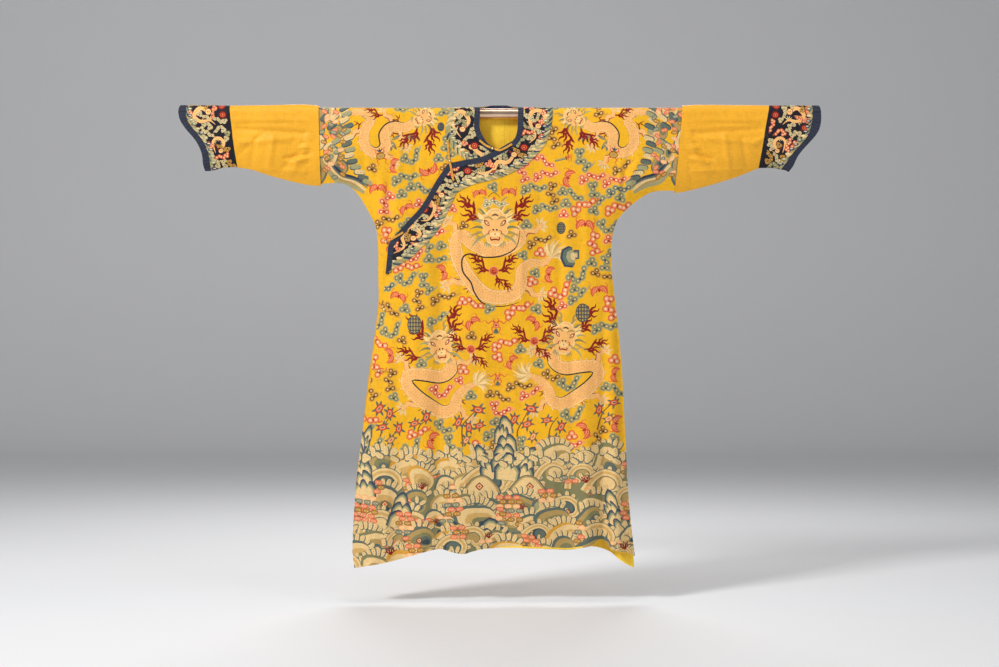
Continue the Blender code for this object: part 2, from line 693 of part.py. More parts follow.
def make_sleeves():
    """Plain sleeve lengths, horse-hoof cuffs and the bindings round their mouths."""
    sides = {
        "left": (LEFT_SLEEVE_RUN, LEFT_SLEEVE_SEAM, LEFT_CUFF_SEAM, LEFT_CUFF_LINE, LEFT_CUFF_EDGE, GAP),
        "right": (
            RIGHT_SLEEVE_RUN, RIGHT_SLEEVE_SEAM, RIGHT_CUFF_SEAM, RIGHT_CUFF_LINE, RIGHT_CUFF_EDGE, -GAP,
        ),
    }
    for side, (run, seam, cuff_seam, cuff_line, cuff_edge, gap) in sides.items():
        make_tube(f"sleeve_{side}", "plain", run, seam, cuff_seam, SLEEVE_RINGS)
        make_tube(f"cuff_{side}", "navy", run, shifted(cuff_seam, gap), cuff_line, CUFF_RINGS)
        line = shifted(cuff_line, 2 * gap)
        make_tube(f"cuff_binding_{side}", "binding", run, line, cuff_edge, BINDING_RINGS)


def make_rod():
    """Round rod along X through both sleeves."""
    mesh = bpy.data.meshes.new("hang_rod")
    work = bmesh.new()
    bmesh.ops.create_cone(
        work, cap_ends=True, segments=ROD_SIDES, radius1=ROD_RADIUS * MM,
        radius2=ROD_RADIUS * MM, depth=2 * ROD_HALF_LENGTH * MM,
    )
    bmesh.ops.rotate(work, verts=work.verts, matrix=quarter_turn())
    work.to_mesh(mesh)
    work.free()
    mesh.shade_smooth()
    mesh.set_sharp_from_angle(angle=SHARP_ANGLE)
    add_object("hang_rod", mesh, "rod")


def quarter_turn():
    """Turns the Z axis onto the X axis."""
    return Vector((0, 0, 1)).rotation_difference(Vector((1, 0, 0))).to_matrix()


def front_of(trees, x, z, clear, reach):
    """A point this far in front of what is nearest to the front within reach of this x and z."""
    hits = []
    for tree in trees:
        for turn in range(RAYS):
            angle = turn * 2 * math.pi / RAYS
            side, up = math.cos(angle), math.sin(angle)
            start = Vector(((x + side * reach) * MM, RAY_START, (z + up * reach) * MM))
            found = tree.ray_cast(start, Vector((0, 1, 0)))
            if found[0] is not None:
                hits.append(found[0].y / MM)
    return Vector((x, min(hits) - clear, z)) * MM


def make_cord(name, trees, points, clear):
    """A sewn cord that lies on the cloth through these points."""
    line = bpy.data.curves.new(name, "CURVE")
    line.dimensions = "3D"
    line.bevel_depth = CORD_RADIUS * MM
    line.bevel_resolution = CORD_BEVEL
    line.use_fill_caps = True
    length = sum(math.dist(a, b) for a, b in zip(points, points[1:]))
    fine = [front_of(trees, *p, clear, CORD_RADIUS) for p in curve(points, length / CORD_STEPS / 2)]
    route = []
    for i in range(0, len(fine), 2):
        foremost = min(place.y for place in fine[max(i - 1, 0): i + 2])
        route.append((fine[i].x, foremost, fine[i].z, 1))
    spline = line.splines.new("POLY")
    spline.points.add(len(route) - 1)
    for point, place in zip(spline.points, route):
        point.co = place
    made = bpy.data.objects.new(name, line)
    bpy.context.scene.collection.objects.link(made)
    line.materials.append(material("cord"))


def make_toggles():
    """Each fastening is a cord tab with a ball button, and a cord loop up to the button."""
    graph = bpy.context.evaluated_depsgraph_get()
    layers = ("front", "neck", "sleeve")
    cloth = [o for o in bpy.context.scene.objects if o.name.startswith(layers)]
    trees = [BVHTree.FromObject(o, graph) for o in cloth if not o.name.endswith("_back")]
    for place, (tab_end, tab_turn, button, loop_turn, loop_end) in TOGGLES.items():
        centre = front_of(trees, *button, BUTTON_RADIUS + FASTENING_LIFT, BUTTON_REACH)
        mesh = bpy.data.meshes.new(f"toggle_{place}_button")
        work = bmesh.new()
        bmesh.ops.create_uvsphere(
            work, u_segments=BUTTON_SEGMENTS, v_segments=BUTTON_RINGS, radius=BUTTON_RADIUS * MM,
        )
        work.to_mesh(mesh)
        work.free()
        mesh.shade_smooth()
        add_object(mesh.name, mesh, "button").location = centre
        reach = BUTTON_RADIUS + 3 * GAP
        for part, turn, end in (("tab", tab_turn, tab_end), ("loop", loop_turn, loop_end)):
            way = (Vector(turn) - Vector(button)).normalized() * reach
            start = (button[0] + way.x, button[1] + way.y)
            clear = CORD_RADIUS + FASTENING_LIFT
            make_cord(f"toggle_{place}_{part}", trees, [start, turn, end], clear)


def main():
    for old in list(bpy.data.objects):
        bpy.data.objects.remove(old)
    make_outer_front()
    make_inner_front()
    make_back()
    make_sleeves()
    make_rod()
    make_toggles()


main()
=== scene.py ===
"""Dragon robe hung on a rod: figured silk panels, dark bands and cuffs, cords, buttons, rod.

Cloth is drawn in a panel's own flat cut, x across and s up the cloth from the rod's level, in
millimetres, as in the construction. Every woven shape is a flat outline there. A panel's mesh
is cut along all those outlines, so a shape's edge is an edge of the cloth itself.
"""

import json
import math
import random

import bmesh
import bpy
import numpy as np
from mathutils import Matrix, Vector, noise
from mathutils.bvhtree import BVHTree
from mathutils.geometry import delaunay_2d_cdt

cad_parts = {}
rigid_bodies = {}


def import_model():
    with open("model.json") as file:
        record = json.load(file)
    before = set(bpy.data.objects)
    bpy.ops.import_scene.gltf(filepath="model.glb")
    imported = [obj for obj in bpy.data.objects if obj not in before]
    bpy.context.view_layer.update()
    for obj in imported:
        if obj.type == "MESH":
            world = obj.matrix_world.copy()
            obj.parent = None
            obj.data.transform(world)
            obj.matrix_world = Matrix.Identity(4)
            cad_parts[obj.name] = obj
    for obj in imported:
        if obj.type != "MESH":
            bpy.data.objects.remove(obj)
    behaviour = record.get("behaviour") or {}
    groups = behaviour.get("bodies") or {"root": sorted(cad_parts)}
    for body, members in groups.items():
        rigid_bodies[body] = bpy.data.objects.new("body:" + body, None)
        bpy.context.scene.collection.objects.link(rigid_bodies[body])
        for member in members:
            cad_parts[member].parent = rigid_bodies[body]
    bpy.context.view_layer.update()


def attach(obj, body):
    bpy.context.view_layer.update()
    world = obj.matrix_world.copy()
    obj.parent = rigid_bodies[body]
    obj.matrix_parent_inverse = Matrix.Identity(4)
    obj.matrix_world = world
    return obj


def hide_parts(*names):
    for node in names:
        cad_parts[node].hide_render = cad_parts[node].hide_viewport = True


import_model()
MM = 0.001

# Rod and cloth
ROD_RADIUS = 16.0
WALL = 1.6
GAP = 0.3
HANG_RADIUS = 17.9
SHOULDER = HANG_RADIUS * math.pi / 2 - GAP / 2
SEAM_HALF_DEPTH = WALL / 2 + GAP / 2
BAND_WALL = 1.2
BINDING_WIDTH = 17.0
OVERLAP_LIFT = 5.6
OVERLAP_LIFT_END = 130.0
FRONT_SEAM_X = -12.0
BACK_SEAM_X = 17.0
BODY = "root"

# Spacing of points on the face, on the lining and along an edge
FACE_STEPS = (8.5, 13.0)
LINING_STEPS = (9.0, 26.0)
BINDING_STEPS = (3.0, 3.0)
SLEEVE_STEPS = (8.0, 5.0)
PUCKER_PITCH, PUCKER_DEPTH = 9.0, 1.4
# Spacing of the dark lines across a binding, which are painted shade in its small creases
CREASE_SHADE_PITCH = 10.5
EDGE_STEP = 8.0

# Outlines of the cut, as columns x, s
LEFT_SLEEVE_END = [(571, SHOULDER), (567, -20), (558, -120), (548, -238)]
LEFT_SIDE = [
    (548, -238), (519, -236), (488, -237), (462, -243), (436, -258), (404, -283), (380, -306),
    (361, -332), (349, -372), (344.8, -419), (346, -480), (356, -570), (368, -680), (378, -795),
    (384, -910), (390, -1035), (397, -1165), (406, -1265), (417, -1358),
]
FRONT_HEM = [
    (417, -1358), (396, -1347), (368, -1341), (345, -1335), (334, -1325), (324, -1309),
    (302, -1306), (288, -1318), (261, -1327), (212, -1336), (163, -1334), (64, -1330),
    (-34, -1332), (-83, -1341), (-108, -1348), (-144, -1343), (-181, -1334), (-230, -1343),
    (-279, -1358), (-328, -1371), (-378, -1380), (-442, -1392),
]
OUTER_FREE_EDGE = [
    (-442, -1392), (-449, -1330), (-445, -1230), (-436, -1110), (-420, -985), (-405, -885),
    (-391, -800), (-383, -730), (-375, -655), (-366, -605), (-354, -560), (-347, -493),
]
OVERLAP_EDGE = [
    (-347, -493), (-341, -434), (-337, -402), (-311, -368), (-278, -331), (-243, -293),
    (-220, -258), (-190, -205), (-154, -155),
]
OVERLAP_TOP = [
    (-154, -155), (-108, -145), (-69, -139), (-44, -131), (-18, -119), (7, -106), (25, -95),
    (43, -84), (54, -63), (58, -20), (58, SHOULDER),
]
RIGHT_SIDE = [
    (-556, -216), (-519, -213), (-488, -212), (-470, -217), (-450, -230), (-427, -256),
    (-402, -299), (-384, -333), (-375, -364), (-371.5, -419), (-371.5, -496), (-370, -573),
    (-378, -646), (-388, -726), (-400, -800), (-409, -880), (-421, -990), (-433, -1095),
    (-442, -1187), (-448, -1294), (-450, -1350),
]
RIGHT_SLEEVE_END = [(-556, -216), (-560, -120), (-562, -20), (-562, SHOULDER)]
INNER_NECK = [(-58, SHOULDER), (-58, 0), (-59, -45), (-49, -71), (-34, -93), (-6, -112)]
INNER_FREE_EDGE = [(-6, -112), (26, -180), (52, -300), (60, -600), (60, -1265)]
INNER_HEM = [(60, -1265), (-150, -1275), (-300, -1302), (-450, -1350)]
BACK_HEM = [
    (417, -1397), (392, -1385), (366, -1368), (344, -1350), (300, -1334), (230, -1336),
    (150, -1340), (64, -1336), (-34, -1330), (-140, -1328), (-240, -1336), (-340, -1356),
    (-450, -1378),
]

# Outer edges of the bands, from the shoulder line to the free edge
OUTER_BAND_RIM = [
    (165, SHOULDER), (165, 6), (162, -27), (152, -71), (138, -102), (109, -134), (83, -158),
    (58, -174), (20, -192), (-18, -205), (-54, -213), (-82, -221), (-108, -232), (-131, -247),
]
OUTER_BAND_DROP = [
    (-131, -247), (-142, -272), (-161, -310), (-184, -354), (-208, -384), (-237, -413),
    (-267, -442), (-308, -467), (-347, -493),
]
INNER_BAND_RIM = [
    (-151, SHOULDER), (-158, -20), (-164, -50), (-160, -78), (-146, -102), (-125, -126),
    (-96, -146), (-50, -164), (-8, -174), (26, -180),
]
BACK_BAND_RIM = [
    (165, SHOULDER), (150, -30), (112, -66), (60, -88), (6, -95), (-48, -88), (-100, -66),
    (-138, -30), (-151, SHOULDER),
]
BACK_BINDING_RIM = [
    (75, SHOULDER), (70, SHOULDER - 12), (56, SHOULDER - BINDING_WIDTH),
    (-56, SHOULDER - BINDING_WIDTH), (-70, SHOULDER - 12), (-75, SHOULDER),
]

# Folds: x at the top and bottom end, s at both, half width at both, rise outwards at both
FOLD_COLUMNS = "x_top s_top x_end s_end half_top half_end rise_top rise_end".split()
FRONT_FOLDS = [
    (-364, -170, -352, -420, 13, 12, 6, 7),
    (-338, -150, -334, -430, 14, 13, -5, -6),
    (-215, -330, -232, -1400, 30, 46, 3, 10),
    (-176, -380, -190, -1400, 22, 30, -7, -9),
    (-92, -420, -110, -1400, 34, 50, 4, 9),
    (20, -700, 16, -1400, 34, 44, -3, -8),
    (118, -760, 122, -1400, 40, 56, 3, 11),
    (187, -220, 186, -700, 13, 14, -6, -4),
    (212, -220, 216, -700, 20, 24, 5, 4),
    (262, -620, 268, -1400, 26, 27, 4, 26),
    (322, -560, 321, -1400, 17, 15, -5, -15),
    (340, -300, 366, -1400, 14, 22, 5, 20),
    (-300, -900, -292, -1400, 30, 34, -3, -9),
    (-372, -960, -384, -1400, 26, 34, 3, 14),
]
BACK_FOLDS = [
    (-300, -260, -330, -1400, 26, 34, 4, 16),
    (-236, -300, -248, -1400, 22, 26, -5, -10),
    (-150, -420, -160, -1400, 34, 46, 3, 13),
    (-40, -600, -58, -1400, 34, 40, -3, -9),
    (60, -520, 66, -1400, 34, 50, 3, 13),
    (160, -360, 176, -1400, 24, 30, -5, -10),
    (236, -300, 262, -1400, 28, 38, 5, 18),
    (318, -620, 344, -1400, 24, 28, 2, 9),
]
# Small creases in the same columns, which only the cloth's own skin has
FRONT_CREASES = [
    (-452, -120, -402, -262, 7, 6, 1.6, 1.2),
    (-424, -90, -386, -300, 8, 7, -1.8, -1.4),
    (-398, -120, -372, -330, 7, 6, 1.5, 1.2),
    (430, -110, 388, -276, 8, 7, 1.6, 1.2),
    (404, -90, 366, -312, 8, 7, -1.8, -1.4),
    (376, -120, 354, -350, 8, 7, 1.6, 1.3),
    (-300, -40, -308, -250, 10, 9, 1.1, 0.9),
    (-246, -60, -262, -260, 9, 8, -1.0, -0.8),
    (-120, -300, -138, -620, 10, 12, 1.3, 1.1),
    (-60, -260, -52, -560, 11, 12, -1.2, -1.2),
    (62, -240, 70, -640, 10, 13, 1.4, 1.2),
    (122, -210, 130, -520, 10, 12, -1.3, -1.1),
    (262, -160, 270, -520, 9, 11, 1.2, 1.0),
    (300, -200, 312, -560, 9, 10, -1.4, -1.1),
    (-250, -520, -262, -900, 12, 14, 1.5, 1.4),
    (-306, -560, -316, -960, 11, 13, -1.6, -1.5),
    (-40, -640, -46, -1080, 12, 15, 1.4, 1.5),
    (70, -620, 66, -1160, 12, 14, -1.4, -1.6),
    (160, -640, 172, -1240, 13, 15, 1.6, 1.6),
    (222, -640, 226, -1180, 11, 12, -1.6, -1.8),
    (-140, -900, -150, -1380, 12, 14, -1.6, -1.8),
    (-336, -900, -344, -1380, 12, 14, 1.6, 1.8),
]
BACK_CREASES = [
    (-x_top, s_top, -x_end, s_end, *rest) for x_top, s_top, x_end, s_end, *rest in FRONT_CREASES
]
FOLD_FADE = 90.0
CREASE_FADE = 70.0
HALF_HOLLOW = [(0, HANG_RADIUS), (-200, 20.0), (-700, 24.0), (-1400, 27.0)]
EDGE_ROUNDING = 85.0
VENT_TOP, VENT_END, VENT_HALF_GAP = -800.0, -1380.0, 5.0

# Seams and edges across a sleeve, as columns way down from 0 to 1, x
LEFT_SLEEVE_SEAM = [(0, 562), (0.1, 561), (1, 539)]
LEFT_CUFF_SEAM = [(0, 829), (0.3, 818), (0.7, 806), (1, 797)]
LEFT_CUFF_LINE = [
    (0, 960), (0.22, 959), (0.42, 948), (0.55, 928), (0.66, 907), (0.76, 893), (0.88, 881), (1, 866),
]
LEFT_CUFF_EDGE = [
    (0, 982), (0.1, 986), (0.28, 985), (0.42, 973), (0.55, 950), (0.66, 929), (0.76, 914),
    (0.88, 903), (1, 890),
]
RIGHT_SLEEVE_SEAM = [(0, -553), (1, -547)]
RIGHT_CUFF_SEAM = [(0, -826), (0.3, -820), (0.7, -811), (1, -803)]
RIGHT_CUFF_LINE = [
    (0, -958), (0.22, -955), (0.4, -930), (0.52, -910), (0.64, -897), (0.78, -889), (0.9, -886), (1, -884),
]
RIGHT_CUFF_EDGE = [
    (0, -978), (0.1, -982), (0.24, -976), (0.38, -957), (0.5, -936), (0.62, -920), (0.76, -910),
    (0.9, -908), (1, -903),
]
# Top and bottom of a sleeve along x, as columns x, top, bottom
LEFT_SLEEVE_RUN = [
    (535, 21.5, -243), (560, 24, -241), (600, 27, -232), (660, 27, -216), (730, 26, -194),
    (800, 25.5, -166), (840, 25, -166), (880, 25, -173), (900, 25, -184), (990, 25, -187),
]
RIGHT_SLEEVE_RUN = [
    (-535, 21.5, -221), (-560, 25, -221), (-590, 28, -218), (-640, 27.5, -207), (-700, 26, -191),
    (-760, 25, -171), (-810, 24.5, -163), (-850, 25, -165), (-880, 25.5, -175), (-990, 26, -178),
]
SLEEVE_CLEARANCE = WALL + 0.9
# Creases on a sleeve: x and s at both ends, half width, rise outwards
SLEEVE_CREASES = [
    (600, -62, 800, -48, 9, -1.5), (640, -78, 792, -92, 10, 1.3), (690, -70, 706, -180, 9, 1.3),
    (570, -70, 640, -190, 12, 1.4), (610, -120, 690, -196, 10, -1.2), (745, -80, 760, -160, 8, -1.1),
    (560, -20, 820, -16, 8, 0.9), (590, -180, 740, -172, 7, 1.2), (570, -100, 590, -215, 8, -1.2),
    (556, -88, 606, -92, 4, -0.9), (556, -103, 610, -107, 4, 0.9), (556, -120, 655, -138, 6, -1.6),
    (556, -133, 640, -152, 6, 1.2), (556, -152, 596, -156, 4, -0.8), (556, -62, 596, -58, 4, -0.7),
    (780, -90, 840, -60, 7, 0.9), (720, -60, 800, -130, 7, -0.7), (650, -30, 800, -34, 6, -0.6),
]

CREASE_GAIN, SLEEVE_CREASE_GAIN = 2.3, 3.0

# Threads, as red, green, blue from 0 to 255, and how satin they lie from 0 to 1
THREADS = {
    "ground": (240, 178, 26, 0.35),
    "sleeve": (238, 171, 40, 0.6),
    "lining": (255, 210, 60, 0.6),
    "peach": (246, 184, 108, 0.5),
    "peach_deep": (222, 140, 78, 0.5),
    "peach_pale": (250, 210, 142, 0.6),
    "cream": (230, 195, 134, 0.5),
    "ivory": (244, 224, 182, 0.5),
    "sand": (208, 167, 98, 0.4),
    "khaki": (176, 146, 86, 0.4),
    "moss": (128, 124, 84, 0.4),
    "sage": (164, 158, 114, 0.4),
    "slate": (92, 104, 94, 0.4),
    "slate_deep": (56, 70, 76, 0.4),
    "blue": (46, 60, 84, 0.4),
    "navy": (46, 52, 72, 0.4),
    "night": (22, 23, 33, 0.3),
    "coral": (218, 92, 54, 0.5),
    "coral_pale": (240, 156, 104, 0.5),
    "red": (176, 44, 30, 0.5),
    "crimson": (134, 14, 12, 0.5),
    "bronze": (138, 88, 24, 0.4),
    "bronze_pale": (212, 154, 56, 0.4),
    "ink": (44, 38, 30, 0.3),
}
# Clouds: rim, ring, dark middle, dot
CLOUDS = {
    "slate": ("sage", "moss", "slate_deep", "cream"),
    "coral": ("coral_pale", "coral", "red", "ivory"),
    "bronze": ("bronze_pale", "bronze", "ink", "cream"),
    "blue": ("sage", "slate", "slate_deep", "cream"),
    "pale": ("cream", "sage", "slate", "ivory"),
    "rose": ("coral", "coral_pale", "red", "ivory"),
}


def smooth(low, high, value):
    """0 at low and 1 at high and beyond, with a soft turn at both; low may be the larger one."""
    share = np.clip((value - low) / (high - low), 0, 1)
    return share * share * (3 - 2 * share)


def along(table, value, column=1):
    """A column of a table at these values of its first column."""
    rows = sorted(table)
    return np.interp(value, [row[0] for row in rows], [row[column] for row in rows])


def curve(points, step=EDGE_STEP):
    """Points about a step apart on a smooth curve through these points, both ends kept."""
    given = np.array([points[0], *points, points[-1]], float)
    share = np.linspace(0, 1, 8, endpoint=False)[:, None]
    weights = (
        (-share**3 + 2 * share**2 - share) / 2,
        (3 * share**3 - 5 * share**2 + 2) / 2,
        (-3 * share**3 + 4 * share**2 + share) / 2,
        (share**3 - share**2) / 2,
    )
    spans = [
        sum(weight * given[i + k] for k, weight in enumerate(weights)) for i in range(len(points) - 1)
    ]
    dense = np.concatenate([*spans, given[-1:]])
    lengths = np.concatenate([[0], np.cumsum(np.hypot(*np.diff(dense, axis=0).T))])
    count = max(1, round(lengths[-1] / step))
    places = np.linspace(0, lengths[-1], count + 1)
    return np.column_stack([np.interp(places, lengths, dense[:, k]) for k in (0, 1)])


def joined(*lines):
    """One closed outline from lines that follow each other, each without its last point."""
    return np.concatenate([np.asarray(line)[:-1] for line in lines])


def moved_aside(line, distance):
    """The line moved to its left by a distance."""
    way = np.gradient(line, axis=0)
    way /= np.hypot(*way.T)[:, None]
    return line + np.column_stack([-way[:, 1], way[:, 0]]) * distance


def distance_to(line, x, s):
    """Shortest distance from each point to the line."""
    points = np.column_stack([x, s])
    parts = np.array_split(points, len(points) * len(line) // 2000000 + 1)
    return np.concatenate([nearest(line, part) for part in parts])


def nearest(line, points):
    a, run = line[:-1], line[1:] - line[:-1]
    x, s = points[:, 0][:, None] - a[:, 0], points[:, 1][:, None] - a[:, 1]
    share = np.clip((x * run[:, 0] + s * run[:, 1]) / (run**2).sum(axis=1), 0, 1)
    return np.hypot(x - share * run[:, 0], s - share * run[:, 1]).min(axis=1)


def covers(outline, points):
    """Which points the outline winds round."""
    parts = np.array_split(points, len(points) * len(outline) // 2000000 + 1)
    return np.concatenate([winds_round(outline, part) for part in parts])


def winds_round(outline, points):
    x, y = points[:, 0][:, None], points[:, 1][:, None]
    ax, ay = outline.T
    bx, by = np.roll(outline, -1, axis=0).T
    side = (bx - ax) * (y - ay) - (x - ax) * (by - ay)
    up = (ay <= y) & (by > y) & (side > 0)
    down = (ay > y) & (by <= y) & (side < 0)
    return (up.sum(axis=1) - down.sum(axis=1)) != 0


LEFT_EDGE, RIGHT_EDGE = curve(LEFT_SIDE, 30), curve(RIGHT_SIDE, 30)


def rise_of(folds, x, s, fade):
    """How far these folds push the cloth out at each place."""
    rise = np.zeros_like(x)
    for row in folds:
        fold = dict(zip(FOLD_COLUMNS, row))
        share = (s - fold["s_top"]) / (fold["s_end"] - fold["s_top"])
        share = np.clip(share, 0, 1)
        centre = fold["x_top"] + (fold["x_end"] - fold["x_top"]) * share
        half = fold["half_top"] + (fold["half_end"] - fold["half_top"]) * share
        height = fold["rise_top"] + (fold["rise_end"] - fold["rise_top"]) * share
        height = height * smooth(0, fade, fold["s_top"] - s)
        if fold["s_end"] > -1370:
            height = height * smooth(0, fade, s - fold["s_end"])
        rise += height * np.exp(-(((x - centre) / half) ** 2))
    return rise


def ripple(x, s):
    """Small unevenness of cloth that hangs: long up and down, narrow across."""
    values = [noise.noise(Vector((a / 62, 0.4, b / 260))) for a, b in zip(x, s)]
    finer = [noise.noise(Vector((a / 27, 3.1, b / 90))) for a, b in zip(x, s)]
    return 1.9 * np.array(values) + 0.65 * np.array(finer)


def depth(folds, creases, x, s):
    """Distance of a panel's middle from the plane of the rod's axis, below the rod."""
    edge = np.minimum(distance_to(LEFT_EDGE, x, s), distance_to(RIGHT_EDGE, x, s))
    belly = np.sin(np.minimum(1.0, edge / EDGE_ROUNDING) * math.pi / 2) ** 0.8
    rim = SEAM_HALF_DEPTH + VENT_HALF_GAP * smooth(0, 1, (VENT_TOP - s) / (VENT_TOP - VENT_END))
    hollow = along(HALF_HOLLOW, s)
    small = CREASE_GAIN * rise_of(creases, x, s, CREASE_FADE) + ripple(x, s)
    small = small * smooth(0, 80, -s) * smooth(545, 500, np.abs(x))
    return rim + (hollow - rim + rise_of(folds, x, s, FOLD_FADE) + small) * belly


def over_rod(s):
    """Height and depth of the cloth where it runs over the rod."""
    turn = np.maximum(s, 0) / HANG_RADIUS
    return HANG_RADIUS * np.sin(turn), HANG_RADIUS * np.cos(turn)


def on_inner_front(x, s):
    height, out = over_rod(s)
    below = depth(FRONT_FOLDS, FRONT_CREASES, x, np.minimum(s, 0))
    return np.column_stack([x, -np.where(s > 0, out, below), np.where(s > 0, height, s)])


def on_outer_front(x, s):
    """The outer front lies over the inner one as far as the inner one's free edge."""
    place = on_inner_front(x, s)
    place[:, 1] -= OVERLAP_LIFT * smooth(OVERLAP_LIFT_END, OVERLAP_LIFT_END - 60, x) * smooth(10, -60, s)
    return place


def on_back(x, s):
    """The back's neck edge stands up behind the rod."""
    height, out = over_rod(s)
    stand = 1 - smooth(20, 56, np.abs(x))
    below = depth(BACK_FOLDS, BACK_CREASES, x, np.minimum(s, 0))
    y = np.where(s > 0, out + (HANG_RADIUS - out) * stand, below)
    return np.column_stack([x, y, np.where(s > 0, height + (s - height) * stand, s)])


def sleeve_crease(x, s):
    """How far the sleeve's creases push the cloth out."""
    rise = np.zeros_like(x)
    for x_top, s_top, x_end, s_end, half, height in SLEEVE_CREASES:
        line = np.array([(x_top, s_top), (x_end, s_end)], float)
        reach = distance_to(line, np.abs(x), s)
        rise += SLEEVE_CREASE_GAIN * height * np.exp(-((reach / half) ** 2))
    return rise


def on_sleeve(run, facing):
    """Surface of one side of a sleeve, whose top and bottom follow its run."""

    def surface(x, s):
        top, bottom = along(run, x), along(run, x, 2)
        widest = HANG_RADIUS + SLEEVE_CLEARANCE
        turn = np.maximum(s, 0) / SHOULDER * math.pi / 2
        way_up = np.clip((s - bottom) / EDGE_ROUNDING, 0, 1)
        swell = along(HALF_HOLLOW, s) - HANG_RADIUS
        bow = (sleeve_crease(x, s) + ripple(x, s)) * smooth(565, 600, np.abs(x)) * smooth(0, -40, s)
        belly = np.sin(way_up * math.pi / 2) ** 0.8
        below = SEAM_HALF_DEPTH + (widest + swell - SEAM_HALF_DEPTH + bow) * belly
        out = np.where(s > 0, widest * np.cos(turn) + GAP / 2, below)
        return np.column_stack([x, facing * out, np.where(s > 0, top * np.sin(turn), s)])

    return surface


def across_sleeve(run, table, steps=30):
    """Points x, s of a seam across a sleeve, from its top to its bottom."""
    fine = curve([(down * 200, x) for down, x in table], 4)
    down = np.linspace(0, 1, steps)
    x = np.interp(down * 200, fine[:, 0], fine[:, 1])
    top, bottom = along(run, x), along(run, x, 2)
    z = top + (bottom - top) * down
    arc = np.arcsin(np.clip(z / top, 0, 1)) / (math.pi / 2) * SHOULDER
    return np.column_stack([x, np.where(z > 0, arc, z)])


# Drawing


def turned(points, x, s, size=1.0, turn=0.0, mirror=False):
    """Points in a shape's own frame, sized, turned by degrees and set at a place."""
    points = np.asarray(points, float) * size
    if mirror:
        points = points * (-1, 1)
    angle = math.radians(turn)
    across, up = points.T
    return np.column_stack([
        x + across * math.cos(angle) - up * math.sin(angle),
        s + across * math.sin(angle) + up * math.cos(angle),
    ])


def oval(x, s, half_x, half_s, turn=0.0, count=10):
    angles = np.linspace(0, 2 * math.pi, count, endpoint=False)
    shape = np.column_stack([half_x * np.cos(angles), half_s * np.sin(angles)])
    return turned(shape, x, s, 1.0, turn)


def nested_ovals(pattern, x, s, half_x, half_s, threads, turn=0.0, count=10):
    """Ovals inside each other, as a table of threads and how large each is."""
    for thread, grow in threads.items():
        pattern.add(thread, oval(x, s, half_x * grow, half_s * grow, turn, count))


def strand(points, widths, step=9.0):
    """Outline of a line of thread through these points, with its half width from end to end."""
    line = curve(points, step)
    half = np.interp(np.linspace(0, 1, len(line)), np.linspace(0, 1, len(widths)), widths)
    return np.concatenate([moved_aside(line, half[:, None]), moved_aside(line, -half[:, None])[::-1]])


def stroke(pattern, thread, points, widths, step, x, s, size, *turn_and_mirror):
    """Adds a line of thread given in a form's own frame, with half widths that grow with the form."""
    line = turned(points, x, s, size, *turn_and_mirror)
    pattern.add(thread, strand(line, [size * width for width in widths], step))


def petal(x, s, length, width, turn, step=5):
    """A leaf with two pointed ends that grows from a place."""
    share = np.linspace(0, 1, step + 1)
    half = width / 2 * np.sin(share * math.pi) ** 0.8
    shape = np.concatenate([
        np.column_stack([share * length, half]),
        np.column_stack([share * length, -half])[::-1][1:-1],
    ])
    return turned(shape, x, s, 1.0, turn)


def pill(x, s, half_length, half_width, turn=0.0):
    """A bar with round ends."""
    ends = []
    for way in (0, 180):
        angles = np.radians(np.linspace(way - 90, way + 90, 5))
        shift = (half_length - half_width) * (1 if way == 0 else -1)
        ends.append(np.column_stack([shift + half_width * np.cos(angles), half_width * np.sin(angles)]))
    return turned(np.concatenate(ends), x, s, 1.0, turn)


CELL = 60.0


class Pattern:
    """Woven shapes in the order in which they lie on each other, and the places they take."""

    def __init__(self):
        self.shapes = []
        self.taken = {}

    def add(self, thread, outline):
        self.shapes.append((thread, np.asarray(outline, float)))

    def take(self, x, s, reach):
        """Notes a round place in each square cell that it comes near."""
        near = reach + CELL / 4
        columns, rows = ((int((v - near) // CELL), int((v + near) // CELL)) for v in (x, s))
        for i in range(columns[0], columns[1] + 1):
            for j in range(rows[0], rows[1] + 1):
                self.taken.setdefault((i, j), []).append((x, s, reach))

    def is_free(self, x, s, reach):
        near = self.taken.get((int(x // CELL), int(s // CELL)), ())
        return all(math.hypot(x - a, s - b) > reach + r for a, b, r in near)


# Groups of cloud heads in each form, as columns x, s, turn
CLOUD_FORMS = [
    [(-2.2, -0.3, 20), (0.0, 0.6, -30), (2.2, -0.1, 15)],
    [(-1.5, 0.9, 80), (0.0, -0.6, 10), (1.7, 0.8, 50)],
    [(-1.5, -0.4, 12), (1.6, 0.5, 30)],
    [(-0.8, 0.9, 70), (0.8, -0.7, 10)],
    [(0.6, 2.0, 35), (-0.3, 0.1, -25), (0.4, -1.9, 20)],
    [(0.0, 0.0, 0)],
]
HEADS = [(-0.7, 0.0), (0.7, 0.0), (0.05, 1.0)]
CLOUD_WISP = [(0.9, -0.3), (1.7, -0.75), (2.5, -0.35)]


def cloud_heads(x, s, size, turn, form):
    """For each group of a cloud: its middle, its two or three heads and how it is turned."""
    groups = []
    for i, (a, b, lean) in enumerate(CLOUD_FORMS[form]):
        middle = turned([(a, b)], x, s, size, turn)[0]
        groups.append((middle, turned(HEADS[:2 + (i == 0)], *middle, size, turn + lean), turn + lean))
    return groups


